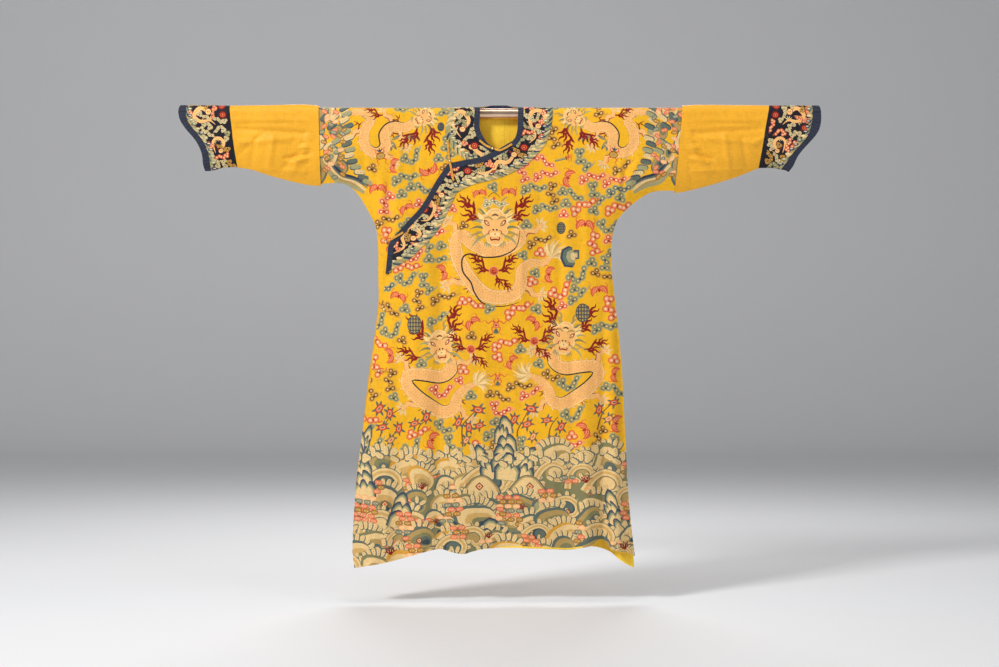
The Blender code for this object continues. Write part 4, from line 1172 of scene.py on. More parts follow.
def shoulder_dragon(pattern, side):
    """A dragon that lies over a shoulder with its head towards the neck."""
    at = placer(0, 0, side)
    draw_limbs(pattern, claw, at, side, SHOULDER_CLAWS)
    for x, s, turns in SHOULDER_LEAVES:
        for turn in turns:
            pattern.add("slate", petal(*at(x, s), 34, 9, lean_of(turn, side)))
            pattern.add("khaki", petal(*at(x, s), 26, 4, lean_of(turn, side)))
    widths = [11, 14, 15, 16, 16, 15, 15, 14, 12, 10, 6]
    dragon_body(pattern, [at(*p) for p in SHOULDER_ROUTE], widths, side, (0.1, 0.6))
    tail_fan(pattern, *at(464, -4), 34, lean_of(20, side))
    draw_limbs(pattern, flame, at, side, SHOULDER_FLAMES)
    dragon_head(pattern, *at(232, -14), 31, 60 * side)


SLEEVE_DOMES = [
    (558, -26, 42, 3), (562, -92, 38, 0), (556, -176, 44, 3), (520, 8, 28, 0), (498, -56, 26, 3),
    (512, -132, 30, 0), (486, -166, 28, 3),
]
SLEEVE_FOAM = [
    (474, 16, 34), (466, -4, 26), (474, -23, 30), (462, -41, 22), (470, -59, 26), (460, -77, 20),
    (466, -95, 22), (456, -113, 14), (460, -131, 16), (450, -149, 10), (440, -166, 4), (428, -182, -4),
    (416, -198, -12), (404, -212, -20), (504, -14, 40), (512, -40, 34), (500, -88, 30), (524, -104, 40),
    (534, -12, 50), (490, -116, 26),
]


def sleeve_waves(pattern, side):
    """The wave border across an upper sleeve, its foam towards the body."""
    chance = random.Random(7 + side)
    for x, s, reach, tone in SLEEVE_DOMES:
        wave_dome(pattern, side * x, s, reach, 100 * side, WAVE_TONES[tone])
    slope = [(524, -160), (488, -196), (446, -210), (408, -236)]
    for thread, half, shift in (
        ("sage", 8, -9), ("cream", 8, 0), ("khaki", 3, -5), ("slate", 4, 8), ("navy", 3, 12)
    ):
        line = [(side * (x - shift * 0.6), s + shift) for x, s in slope]
        pattern.add(thread, strand(line, [half * 0.6, half * 1.3, half * 1.1, half * 0.3], 10))
    for i, (x, s, turn) in enumerate(SLEEVE_FOAM):
        threads = (("slate_deep", "slate"), ("slate", "sage"), ("slate", "cream"))[i % 3]
        finger(pattern, side * x, s, 36, 17, lean_of(turn, -side), threads)
    for s in np.arange(16, -200, -13.0):
        for x in (482, 508, 534, 560):
            if chance.random() < 0.62:
                a, b = x + chance.uniform(-9, 9), s + chance.uniform(-5, 5)
                turn = chance.uniform(-50, 50)
                ring_pair(pattern, side * a, b, 7.4, turn, chance.choice(RING_THREADS))
    for row in range(6):
        pattern.take(side * (478 - row * 5), 20 - row * 44, 50)


BATS = [
    (264, -339, 15, -6), (151, -494, 13, 80), (209, -198, 14, 70), (-170, -486, 13, -70),
    (-84, -640, 13, 40), (108, -640, 13, -50), (306, -540, 14, 10), (-306, -560, 13, -20),
    (-206, -1000, 14, 70), (262, -968, 14, -60), (356, -950, 14, 80),
    (36, -760, 12, 60), (-332, -742, 12, -80), (-60, -244, 11, 10), (30, -240, 12, 0), (352, -800, 12, 80),
]
INNER_BATS = [(-371, -229, 14, 0), (-214, -178, 15, 200), (-285, -290, 12, 30), (-324, -160, 12, 80)]
PEACH = ("bronze", "coral_pale", "cream", "coral")
SPRIGS = [
    ([(-372, -1020), (-356, -970), (-330, -925), (-300, -905)], [
        (-366, -905, 12, 50), (-334, -920, 11, 80), (-356, -962, 11, 10), (-306, -965, 11, 80),
        (-330, -1000, 10, 40, PEACH)]),
    ([(-110, -1020), (-112, -960), (-90, -930), (-60, -900)], [
        (-124, -946, 11, 60), (-92, -962, 11, 95), (-64, -908, 12, -10), (-60, -956, 10, 20),
        (-100, -1000, 10, 60, PEACH)]),
    ([(60, -1020), (56, -975), (74, -940), (92, -905)], [
        (46, -938, 11, 60), (86, -952, 11, 20), (98, -905, 12, -10), (104, -990, 10, 60, PEACH)]),
    ([(150, -1010), (158, -960), (180, -930)], [
        (146, -940, 10, 10), (190, -960, 11, 60), (168, -996, 10, 0, PEACH)]),
    ([(300, -970), (316, -920), (346, -890)], [
        (306, -908, 11, 70), (352, -886, 10, 10), (336, -936, 10, 30, PEACH)]),
    ([(-250, -1000), (-244, -960), (-222, -940)], [(-258, -950, 10, 20), (-222, -930, 11, 70)]),
]
ROCKS = [
    (-396, -986, 60, 5, 32, -24, 1), (-432, -1000, 70, 6, 30, 8, 2), (-292, -1186, 84, 3, 28, -14, 3),
    (-168, -1296, 78, 3, 28, 34, 4), (-30, -1262, 96, 2, 26, 0, 5), (336, -1180, 70, 4, 30, 16, 6),
    (214, -1290, 60, 2, 24, -20, 7),
]


BANK = np.array([
    (-1.1, -0.5), (-0.5, 0.3), (0.1, 0.5), (0.6, 0.2), (1.0, -0.4), (0.4, -0.7), (-0.4, -0.8), (-1.1, -0.5),
])


def plateau(pattern, x, s, side):
    """A broad cream bank beside the mountain with a plain lozenge on it."""
    for thread, grow in (("slate", 1.0), ("khaki", 0.9), ("cream", 0.76)):
        pattern.add(thread, curve(turned(BANK * (side, 1), x, s, 62 * grow), 8)[:-1])
    lozenge(pattern, x - 6 * side, s - 4, 13)


def hem_sea(pattern, seed):
    """The sea along the hem, with its rocks and the mountain in the middle."""
    shore = []
    for i in range(25):
        x = -480 + i * 39
        shore += [(x, -1066 + 22 * math.sin(i * 1.7)), (x + 20, -1044 + 16 * math.sin(i * 1.3))]
    pattern.add("moss", [*shore, (500, -1440), (-480, -1440)])
    sea(pattern, (-1074, -1120), -452, 440, seed)
    for x, s, width, layers, turn in ((92, -1042, 66, 3, -26), (-62, -1040, 66, 3, 28), (15, -950, 96, 6, 0)):
        rock(pattern, x, s, width, layers, 28, turn, seed + layers)
    plateau(pattern, -54, -1138, 1)
    plateau(pattern, 88, -1138, -1)
    sea(pattern, (-1196, -1240), -470, 440, seed + 1)
    for row in ROCKS:
        rock(pattern, *row)
    ring_rows(pattern, 28, -1176, 3, 6, 8.4, 0, 0)
    ring_rows(pattern, -410, -1176, 3, 6, 8.4, -6, 2)
    sea(pattern, (-1300, -1350, -1396), -470, 440, seed + 2)
    for x, s, size in (
        (-233, -1150, 22), (-330, -1350, 24), (267, -1130, 24), (385, -1335, 26), (-30, -1300, 20)
    ):
        coral_twig(pattern, x, s, size)
    chance = random.Random(seed + 3)
    clusters = [(-380 + k * 68 + chance.uniform(-30, 30), -1130 - (k * 97) % 250) for k in range(13)]
    for x, s in clusters:
        columns, rows, first = chance.choice((1, 2)), chance.choice((3, 4, 5)), chance.randrange(7)
        ring_rows(pattern, x, s, columns, rows, 8.6, chance.uniform(-14, 14), first)
    for x in range(-430, 430, 46):
        foam_fan(pattern, x + chance.uniform(-14, 14), -1072 + chance.uniform(-16, 20), 26, 40, 150, 1.15)
    pattern.take(15, -1000, 60)
    turned_hem = [(255, -1326), (212, -1333), (163, -1331), (64, -1327), (0, -1329)]
    pattern.add("lining", strand(turned_hem, [2.4], 10))


def all_over(pattern, bats, sprigs, zone, seed):
    """Bats, flower sprigs and small clouds in what is left free."""
    for x, s, size, turn in bats:
        bat(pattern, x, s, size * 1.2, turn)
    for stem, blossoms in sprigs:
        branch(pattern, stem, blossoms)
    fill_with_clouds(pattern, np.array(zone, float), seed)


def front_pattern():
    """Everything woven into the outer front."""
    pattern = Pattern()
    shoulder_dragon(pattern, 1)
    sleeve_waves(pattern, 1)
    chest_dragon(pattern)
    lower_dragon(pattern, -178, -717, 1)
    lower_dragon(pattern, 200, -692, -1)
    lattice_disc(pattern, -258, -648, 22, 29)
    lattice_disc(pattern, 256, -612, 22, 29)
    axe(pattern, 220, -440, 33)
    vase(pattern, 350, -128, 15, -12)
    blade(pattern, 196, -140, 17, 12)
    hanging_knot(pattern, -9, -650, 17)
    hanging_knot(pattern, -4, -812, 15)
    lattice_disc(pattern, 190, -352, 14, 19)
    zone = [
        (-360, -530), (-300, -470), (-120, -262), (20, -215), (150, -130), (176, 30), (400, 30), (390, -210),
        (335, -400), (376, -1020), (120, -1040), (-60, -1040), (-420, -1020), (-385, -760),
    ]
    all_over(pattern, BATS, SPRIGS, zone, 11)
    hem_sea(pattern, 21)
    return pattern


def inner_pattern():
    """What the inner front shows beside the overlap."""
    pattern = Pattern()
    shoulder_dragon(pattern, -1)
    sleeve_waves(pattern, -1)
    vase(pattern, -362, -132, 15, 12)
    lattice_disc(pattern, -178, -42, 11, 14)
    zone = [(-172, 30), (-400, 30), (-392, -200), (-352, -300), (-340, -400), (-300, -400), (-150, -160)]
    all_over(pattern, INNER_BATS, [], zone, 12)
    return pattern


def back_pattern():
    """The back repeats the front's order with its own dragons."""
    pattern = Pattern()
    for side in (1, -1):
        shoulder_dragon(pattern, side)
        sleeve_waves(pattern, side)
        vase(pattern, side * 350, -128, 15, -12 * side)
    chest_dragon(pattern, -1, 40)
    lower_dragon(pattern, -188, -700, 1)
    lower_dragon(pattern, 192, -700, -1)
    hanging_knot(pattern, 4, -650, 17)
    axe(pattern, -230, -420, 24)
    bats = [(-x, s + 14, size, -turn) for x, s, size, turn in BATS]
    sprigs = [
        ([(-x, s) for x, s in stem], [(-x, s, size, -turn, *rest) for x, s, size, turn, *rest in blossoms])
        for stem, blossoms in SPRIGS
    ]
    zone = [
        (-400, 30), (-160, 30), (-60, -100), (60, -100), (170, 30), (400, 30), (390, -210), (335, -400),
        (376, -1030), (0, -1040), (-420, -1020), (-380, -700), (-360, -420), (-392, -200),
    ]
    all_over(pattern, bats, sprigs, zone, 13)
    hem_sea(pattern, 41)
    return pattern


def small_dragon(pattern, route, width):
    """A thin dragon for a band: a bent body, small claws and a head with a red crest."""
    for i in range(1, len(route) - 1):
        for lean in (10, 45, 80, 115):
            pattern.add("peach_pale", petal(*route[i], width * 2.7, width * 0.5, lean + i * 97, 4))
    pattern.add("crimson", strand(route, [width * 0.9, width * 1.3, width * 1.3, width * 0.9, 0.6]))
    pattern.add("peach_pale", strand(route, [width * 0.7, width * 1.05, width * 1.05, width * 0.7, 0.5]))
    pattern.add("peach", strand(route, [width * 0.4, width * 0.75, width * 0.75, width * 0.4, 0.4]))
    x, s = route[0]
    tones = {"crimson": 1.15, "peach_pale": 0.95, "peach": 0.6}
    nested_ovals(pattern, x, s, width * 1.6, width * 1.4, tones)
    for side in (-1, 1):
        pattern.add("ink", oval(x + side * width * 0.55, s + width * 0.3, 1.3, 1.3, 0, 5))
        crest = [
            (x + side * width, s + width), (x + side * width * 2.2, s + width * 1.4),
            (x + side * width * 2.6, s + width * 2.6),
        ]
        pattern.add("red", strand(crest, [1.5, 1.2, 0.3], 6))
    for a, b in route:
        pattern.take(a, b, width * 1.3)


STRIPE_THREADS = ("cream", "sage", "slate", "slate_deep", "blue", "sand", "cream", "khaki", "slate")


def edge_stripes(pattern, line, width, inward, seed):
    """Slanting wave stripes along a band's outer edge, with a scalloped inner side."""
    chance = random.Random(seed)
    fine = curve(line, 6.0)
    pattern.add("sage", np.concatenate([fine, moved_aside(fine, inward * width)[::-1]]))
    for i in range(0, len(fine) - 5, 3):
        rows = [moved_aside(fine, inward * width * share) for share in (0, 0.55, 1.0)]
        for thread, last in ((chance.choice(STRIPE_THREADS), 2), (chance.choice(STRIPE_THREADS), 1)):
            ends = rows[0][i], rows[0][i + last], rows[1][i + last + 2], rows[2][i + last + 2]
            pattern.add(thread, [*ends, rows[2][i + 3], rows[1][i + 2]])
    inner = moved_aside(fine, inward * (width + 1.0))
    for i in range(0, len(fine) - 1, 3):
        pattern.add(chance.choice(("slate", "sage", "blue", "cream")), oval(*inner[i], 9.0, 4.6, 0, 9))
        pattern.add("ivory", oval(*moved_aside(fine, inward * (width + 2.6))[i], 5.0, 1.5, 0, 7))


OUTER_BAND_DRAGONS = [
    [(120, -40), (142, -16), (124, 8), (98, 0), (96, -34), (112, -70), (92, -92)],
    [(46, -128), (26, -152), (-4, -150), (-20, -178), (-54, -186), (-84, -176)],
    [(-176, -252), (-196, -236), (-216, -262), (-196, -290), (-214, -326), (-240, -330)],
    [(-262, -384), (-240, -372), (-268, -346), (-296, -376), (-290, -410), (-322, -430)],
]
INNER_BAND_DRAGONS = [
    [(-112, -50), (-92, -24), (-112, 4), (-138, -6), (-140, -40), (-116, -76)],
    [(-84, -104), (-62, -122), (-30, -140), (-12, -152)],
]
BACK_BAND_DRAGONS = [
    [(0, -62), (-26, -46), (-50, -64), (-80, -46), (-104, -24), (-124, 4)],
    [(104, -24), (84, -44), (60, -60), (40, -44), (20, -60)],
]
ROSES = [(77, -106), (-75, -100), (-96, -178), (-14, -186), (-300, -452), (-228, -296), (146, -60)]


def band_pattern(line, zone, dragons, inward, seed):
    """Dragons, roses and clouds on the dark neck band, with a pale striped border."""
    pattern = Pattern()
    for route in dragons:
        small_dragon(pattern, route, 5.6)
    for x, s in ROSES:
        rose(pattern, x, s, 13)
    fill_with_clouds(pattern, zone, seed, 5.8, BAND_CLOUDS, (6.0, 5.0), 180)
    edge_stripes(pattern, line, 17, inward, seed)
    return pattern


CUFF_DRAGONS = [
    ([(890, 2), (914, 12), (934, -8), (914, -26), (886, -22), (868, -36)], 5.4),
    ([(852, -116), (842, -92), (858, -76), (876, -88), (868, -122)], 4.4),
]
CUFF_STRIP = [(-170, 806), (-60, 820), (30, 832)]


def rose(pattern, x, s, size):
    """A small crimson rose."""
    for thread, grow in (("crimson", 1.0), ("coral", 0.68), ("crimson", 0.44), ("coral_pale", 0.2)):
        pattern.add(thread, oval(x, s, size * grow, size * 0.86 * grow, 0, 9))
    pattern.take(x, s, size)


def cuff_pattern(zone, edge, inward, seed, side):
    """Clouds, dragons and a striped edge on the dark ground of a cuff."""
    pattern = Pattern()
    for route, width in CUFF_DRAGONS:
        small_dragon(pattern, [(side * a, b) for a, b in route], width)
    for x, s in ((850, 18), (846, -6), (936, -46)):
        rose(pattern, side * x, s, 12)
    for s in range(-190, 40, 9):
        pattern.take(side * along(CUFF_STRIP, s), s, 2)
    fill_with_clouds(pattern, zone, seed, 5.8, BAND_CLOUDS, (6.0, 5.0), 180)
    edge_stripes(pattern, edge, 9, inward, seed)
    return pattern


# Making cloth from a cut


def linear(thread):
    """A thread's colour as linear light, with its satin in the fourth place."""
    red, green, blue, satin = THREADS[thread]
    light = [((v / 255 + 0.055) / 1.055) ** 2.4 if v > 10 else v / 255 / 12.92 for v in (red, green, blue)]
    return (*light, satin)


def grid(outline, steps):
    """Points of an even grid inside the outline, clear of its edge."""
    low, high = outline.min(axis=0), outline.max(axis=0)
    rows = np.arange(low[1] + steps[1] / 2, high[1], steps[1])
    columns = np.arange(low[0] + steps[0] / 2, high[0], steps[0])
    spots = np.array([(x + (i % 2) * steps[0] / 2, s) for i, s in enumerate(rows) for x in columns])
    spots = spots[covers(outline, spots)]
    ring = np.concatenate([outline, outline[:1]])
    return spots[distance_to(ring, *spots.T) > min(steps) * 0.4]


def divided(ring, step=12.0):
    """A closed outline with its long sides divided."""
    ahead = np.roll(ring, -1, axis=0)
    counts = np.maximum(1, np.ceil(np.hypot(*(ahead - ring).T) / step)).astype(int)
    if counts.max() == 1:
        return ring
    return np.concatenate([a + (b - a) * (np.arange(n) / n)[:, None] for a, b, n in zip(ring, ahead, counts)])


def triangulated(outline, points, edges):
    """Points of a flat cut and the triangles between them, with these edges kept."""
    flat, _, faces, *_ = delaunay_2d_cdt([Vector(p) for p in points], edges, [], 0, 0.01, False)
    flat = np.array([tuple(p) for p in flat])
    faces = np.array([tuple(f) for f in faces])
    return flat, faces[covers(outline, flat[faces].mean(axis=1))]


def seen_edges(faces, threads):
    """The edges on the rim and between two threads, as pairs of points."""
    sides = np.sort(np.concatenate([faces[:, [0, 1]], faces[:, [1, 2]], faces[:, [2, 0]]]), axis=1)
    owners = np.tile(threads, 3)
    order = np.lexsort((sides[:, 1], sides[:, 0]))
    sides, owners = sides[order], owners[order]
    paired = (sides[1:] == sides[:-1]).all(axis=1)
    alike = paired & (owners[1:] == owners[:-1])
    hidden = np.zeros(len(sides), bool)
    hidden[:-1] |= alike
    hidden[1:] |= alike
    return np.unique(sides[~hidden], axis=0)


def cut_flat(outline, shapes, steps, ground):
    """Points, triangles and a thread for each triangle of a cut with woven shapes."""
    low, high = outline.min(axis=0), outline.max(axis=0)
    used = [
        (thread, divided(shape)) for thread, shape in shapes
        if (shape.max(axis=0) > low).all() and (shape.min(axis=0) < high).all()
    ]
    points, edges = [], []
    for ring in (outline, *(shape for _, shape in used)):
        first, count = len(points), len(ring)
        points.extend(ring)
        edges.extend((first + i, first + (i + 1) % count) for i in range(count))
    between = list(grid(outline, steps))
    flat, faces = triangulated(outline, points + between, edges)
    middles = flat[faces].mean(axis=1)
    order = np.argsort(middles[:, 0])
    faces, middles = faces[order], middles[order]
    names = list(THREADS)
    threads = np.full(len(faces), names.index(ground))
    for thread, shape in used:
        first, last = np.searchsorted(middles[:, 0], (shape[:, 0].min(), shape[:, 0].max()))
        part = middles[first:last]
        hit = (part[:, 1] >= shape[:, 1].min()) & (part[:, 1] <= shape[:, 1].max())
        where = np.nonzero(hit)[0] + first
        if len(where):
            where = where[covers(shape, middles[where])]
            threads[where] = names.index(thread)
    if not used:
        return flat, faces, threads
    # Once more with only the edges that show, so that covered shapes cost nothing
    seen = seen_edges(faces, threads)
    kept, renumbered = np.unique(seen, return_inverse=True)
    tree = BVHTree.FromPolygons([(x, s, 0) for x, s in flat], faces.tolist())
    pairs = [tuple(pair) for pair in renumbered.reshape(-1, 2).tolist()]
    flat, faces = triangulated(outline, list(flat[kept]) + between, pairs)
    found = [tree.find_nearest((x, s, 0))[2] for x, s in flat[faces].mean(axis=1)]
    return flat, faces, threads[found]


def placed(surface, flat, lift, facing):
    """Places and normals of flat points on a surface, lifted off it."""
    x, s = flat.T
    place = surface(x, s)
    across = surface(x + 1.5, s) - surface(x - 1.5, s)
    up = surface(x, s + 1.2) - surface(x, s - 1.2)
    normal = np.cross(across, up) * (1 if facing < 0 else -1)
    normal /= np.linalg.norm(normal, axis=1)[:, None]
    return place + normal * lift, normal


def puckered(surface, flat, lift, facing, wave):
    """Places and normals on a binding that is pulled into small ripples by its seams."""
    place, normal = placed(surface, flat, lift, facing)
    height = wave(*flat.T)
    rise_x = (wave(flat[:, 0] + 0.2, flat[:, 1]) - height) / 0.2
    rise_s = (wave(flat[:, 0], flat[:, 1] + 0.2) - height) / 0.2
    across_way = surface(flat[:, 0] + 1.5, flat[:, 1]) - surface(flat[:, 0] - 1.5, flat[:, 1])
    up_way = surface(flat[:, 0], flat[:, 1] + 1.2) - surface(flat[:, 0], flat[:, 1] - 1.2)
    across_way /= np.linalg.norm(across_way, axis=1)[:, None]
    up_way /= np.linalg.norm(up_way, axis=1)[:, None]
    bent = normal - across_way * rise_x[:, None] - up_way * rise_s[:, None]
    bent /= np.linalg.norm(bent, axis=1)[:, None]
    return place + normal * height[:, None], bent


def ripples(line, pitch, height):
    """Small waves along a line that cross the strip beside it at a slant."""
    runs = np.concatenate([[0], np.cumsum(np.hypot(*np.diff(line, axis=0).T))])

    def wave(x, s):
        gap = np.hypot(x[:, None] - line[:, 0], s[:, None] - line[:, 1])
        weight = np.exp(-((gap - gap.min(axis=1)[:, None]) / 2.5))
        run = (weight * runs).sum(axis=1) / weight.sum(axis=1)
        turn = 2 * math.pi * run / pitch + 1.3 * np.sin(run / 23.0) + 0.5 * gap.min(axis=1) / pitch
        return -height * (0.5 + 0.5 * np.sin(turn)) * (0.7 + 0.3 * np.sin(run / 9.0))

    return wave


def linked(name, data):
    """A new object in the scene."""
    made = bpy.data.objects.new(name, data)
    bpy.context.scene.collection.objects.link(made)
    return made


def riding(mesh, nodes, slot):
    """The object of a mesh, which stands for these nodes."""
    made = linked(mesh.name, mesh)
    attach(made, BODY)
    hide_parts(*nodes)
    return made


def mesh_of(name, work, material):
    """A smooth mesh from a bmesh."""
    mesh = bpy.data.meshes.new(name)
    work.to_mesh(mesh)
    work.free()
    mesh.shade_smooth()
    mesh.materials.append(material)
    return mesh


class ClothMesh:
    """Collects the skins of one cloth piece and makes its object."""

    def __init__(self):
        self.points, self.normals, self.faces = [], [], []
        self.threads, self.slots = [], []
        self.count = 0
        self.flat_area = 0.0

    def add(self, points, normals, faces, threads, slot):
        self.points.append(points)
        self.normals.append(normals)
        self.faces.append(np.asarray(faces) + self.count)
        self.threads.append(np.broadcast_to(threads, len(faces)))
        self.slots.append(np.full(len(faces), slot))
        self.count += len(points)

    def add_skin(
        self, outline, shapes, surface, facing, ground, low, high, lining="lining", edge="bronze_pale",
        behind=(), steps=FACE_STEPS, wave=None,
    ):
        """The face with its shapes, the lining behind it and the edge between them."""
        names = list(THREADS)
        flat, faces, threads = cut_flat(outline, shapes, steps, ground)
        if facing > 0:
            faces = faces[:, ::-1]
        a, b, c = (flat[faces[:, k]] for k in range(3))
        (ux, us), (vx, vs) = (b - a).T, (c - a).T
        self.flat_area += 0.5 * np.abs(ux * vs - us * vx).sum() * MM * MM
        if wave is None:
            place, normal = placed(surface, flat, high, facing)
        else:
            place, normal = puckered(surface, flat, high, facing, wave)
        self.add(place, normal, faces, threads, 0)
        back, back_faces, back_threads = cut_flat(
            outline, behind, SLEEVE_STEPS if steps == SLEEVE_STEPS else LINING_STEPS, lining
        )
        if facing < 0:
            back_faces = back_faces[:, ::-1]
        place, normal = placed(surface, back, low, facing)
        self.add(place, -normal, back_faces, back_threads, 1)
        top, normal = placed(surface, outline, high, facing)
        bottom, _ = placed(surface, outline, low, facing)
        count = len(outline)
        i = np.arange(count)
        j = (i + 1) % count
        quads = np.column_stack([i, i + count, j + count, j])
        tris = np.concatenate([quads[:, [0, 1, 2]], quads[:, [0, 2, 3]]])
        if facing > 0:
            tris = tris[:, ::-1]
        centre = (top + bottom) / 2
        way = np.roll(centre, -1, axis=0) - np.roll(centre, 1, axis=0)
        out = np.cross(way, normal) * (1 if facing < 0 else -1)
        out /= np.maximum(np.linalg.norm(out, axis=1), 1e-9)[:, None]
        self.add(np.concatenate([top, bottom]), np.concatenate([out, out]), tris, names.index(edge), 2)

    def make(self, name, nodes, slot, materials):
        mesh = bpy.data.meshes.new(name)
        points = np.concatenate(self.points) * MM
        faces = np.concatenate(self.faces)
        mesh.vertices.add(len(points))
        mesh.vertices.foreach_set("co", points.ravel())
        mesh.loops.add(len(faces) * 3)
        mesh.loops.foreach_set("vertex_index", faces.ravel())
        mesh.polygons.add(len(faces))
        mesh.polygons.foreach_set("loop_start", np.arange(0, len(faces) * 3, 3))
        mesh.update(calc_edges=True)
        mesh.polygons.foreach_set("use_smooth", np.ones(len(faces), bool))
        mesh.polygons.foreach_set("material_index", np.concatenate(self.slots))
        palette = np.array([linear(thread) for thread in THREADS])
        colours = np.repeat(palette[np.concatenate(self.threads)], 3, axis=0)
        attribute = mesh.color_attributes.new("thread", "FLOAT_COLOR", "CORNER")
        attribute.data.foreach_set("color", colours.ravel())
        for material in materials:
            mesh.materials.append(material)
        mesh.normals_split_custom_set_from_vertices(np.concatenate(self.normals))
        return riding(mesh, nodes, slot)


# Finishes


def add_node(tree, kind, inputs=None, **settings):
    """A node with its settings; an input takes a value or another node's output."""
    made = tree.nodes.new(kind)
    for name, value in settings.items():
        setattr(made, name, value)
    for key, value in (inputs or {}).items():
        if isinstance(value, bpy.types.NodeSocket):
            tree.links.new(value, made.inputs[key])
        else:
            made.inputs[key].default_value = value
    return made


def maths(tree, operation, a, b):
    return add_node(tree, "ShaderNodeMath", {0: a, 1: b}, operation=operation).outputs[0]


def object_place(tree):
    return add_node(tree, "ShaderNodeTexCoord").outputs["Object"]


def spread(tree, value, low, high, first=0.0, last=1.0):
    """The value's run from low to high, stretched over first to last."""
    ends = {"From Min": low, "From Max": high, "To Min": first, "To Max": last}
    return add_node(tree, "ShaderNodeMapRange", {"Value": value, **ends}).outputs[0]


def grain(tree, place, scale, detail, **more):
    """How strong a fine noise is; the scale is one number or one for each axis."""
    if isinstance(scale, tuple):
        place = add_node(tree, "ShaderNodeMapping", {"Vector": place, "Scale": scale}).outputs[0]
        scale = 1.0
    values = {"Vector": place, "Scale": scale, "Detail": detail, **more}
    return add_node(tree, "ShaderNodeTexNoise", values).outputs["Fac"]


def give_relief(tree, shader, height, strength, distance):
    """Bumps on a finish by this height."""
    made = add_node(tree, "ShaderNodeBump", {"Height": height, "Strength": strength, "Distance": distance})
    tree.links.new(made.outputs[0], shader.inputs["Normal"])


def give_ramp(tree, shader, value, low, high):
    """A base colour that runs from low to high, each as a position and a colour."""
    ramp = add_node(tree, "ShaderNodeValToRGB", {"Fac": value})
    for stop, (position, colour) in zip(ramp.color_ramp.elements, (low, high)):
        stop.position = position
        stop.color = colour
    tree.links.new(ramp.outputs[0], shader.inputs["Base Color"])


def new_group(name, inputs, outputs):
    """An empty shader group with these inputs and outputs, all of them numbers."""
    group = bpy.data.node_groups.new(name, "ShaderNodeTree")
    for label, value in inputs.items():
        socket = group.interface.new_socket(label, in_out="INPUT", socket_type="NodeSocketFloat")
        socket.default_value = value
    for label in outputs:
        group.interface.new_socket(label, in_out="OUTPUT", socket_type="NodeSocketFloat")
    return group, group.nodes.new("NodeGroupInput"), group.nodes.new("NodeGroupOutput")


def make_weave_group():
    """Warp ribs, weft threads and slubs: a height, and how light each thread is."""
    group, given, result = new_group("silk_weave", {"Pitch": 900.0, "Slub": 0.5}, ("Height", "Shade"))
    place = object_place(group)
    threads = {"Vector": place, "Scale": given.outputs["Pitch"]}
    weft = add_node(group, "ShaderNodeTexWave", threads, bands_direction="Z")
    warp = add_node(group, "ShaderNodeTexWave", threads, bands_direction="X")
    ribs_and_crease_shade = maths(group, "MAXIMUM", weft.outputs["Fac"], warp.outputs["Fac"])
    slub = grain(group, place, (60.0, 60.0, 900.0), 2.0)
    lengthwise = grain(group, place, (1100.0, 300.0, 45.0), 2.0)
    uneven = maths(group, "MULTIPLY", slub, given.outputs["Slub"])
    height = maths(group, "ADD", ribs_and_crease_shade, uneven)
    shade = maths(group, "ADD", slub, lengthwise)
    group.links.new(height, result.inputs["Height"])
    group.links.new(maths(group, "MULTIPLY", shade, 0.5), result.inputs["Shade"])
    return group


def make_age_group():
    """Broad fading, small spots and stains of old silk, from 0 to 1."""
    group, given, result = new_group("silk_age", {"Size": 5.0, "Spots": 0.4}, ("Fade", "Stain"))
    place = object_place(group)
    fade = spread(group, grain(group, place, given.outputs["Size"], 4.0), 0.3, 0.7)
    spots = spread(group, grain(group, place, 70.0, 4.0, Roughness=0.65), 0.55, 0.75)
    group.links.new(fade, result.inputs["Fade"])
    group.links.new(maths(group, "MULTIPLY", spots, given.outputs["Spots"]), result.inputs["Stain"])
    return group


def new_material(name, **sockets):
    """A material whose shader takes these values on its own sockets."""
    made = bpy.data.materials.new(name)
    made.use_nodes = True
    tree = made.node_tree
    shader = tree.nodes["Principled BSDF"]
    for label, value in sockets.items():
        shader.inputs[label.replace("_", " ")].default_value = value
    return made, tree, shader


def place_group(tree, group, **values):
    made = add_node(tree, "ShaderNodeGroup", node_tree=group)
    for label, value in values.items():
        made.inputs[label].default_value = value
    return made


def cloth_material(name, weave, age, pitch=900.0, bump=0.25, roughness=(0.72, 0.5), stain=0.35, sheen=0.05):
    """Silk in the colours of its threads: weave, slubs, fading and small stains."""
    made, tree, shader = new_material(name, Sheen_Weight=sheen, Sheen_Roughness=0.4, Specular_IOR_Level=0.22)
    threads = place_group(tree, weave, Pitch=pitch, Slub=0.6)
    wear = place_group(tree, age, Size=5.0, Spots=stain)
    read = add_node(tree, "ShaderNodeAttribute", attribute_name="thread")
    colour, satin = read.outputs["Color"], read.outputs["Alpha"]
    shade = spread(tree, threads.outputs["Shade"], 0.3, 0.7, 0.8, 1.16)
    faded = spread(tree, wear.outputs["Fade"], 0.0, 1.0, 0.93, 1.05)
    light = maths(tree, "MULTIPLY", shade, faded)
    shaded = add_node(tree, "ShaderNodeVectorMath", {0: colour, "Scale": light}, operation="SCALE")
    worn = add_stain(tree, shaded.outputs[0], wear.outputs["Stain"])
    tree.links.new(worn, shader.inputs["Base Color"])
    tree.links.new(spread(tree, satin, 0.0, 1.0, *roughness), shader.inputs["Roughness"])
    give_relief(tree, shader, threads.outputs["Height"], bump, 0.0004)
    return made


def add_stain(tree, colour, amount):
    """The colour with brown stains over it."""
    mix = add_node(tree, "ShaderNodeMix", data_type="RGBA")
    colours = [socket for socket in mix.inputs if socket.type == "RGBA"]
    tree.links.new(amount, mix.inputs[0])
    tree.links.new(colour, colours[0])
    colours[1].default_value = (0.33, 0.2, 0.07, 1.0)
    return next(socket for socket in mix.outputs if socket.type == "RGBA")


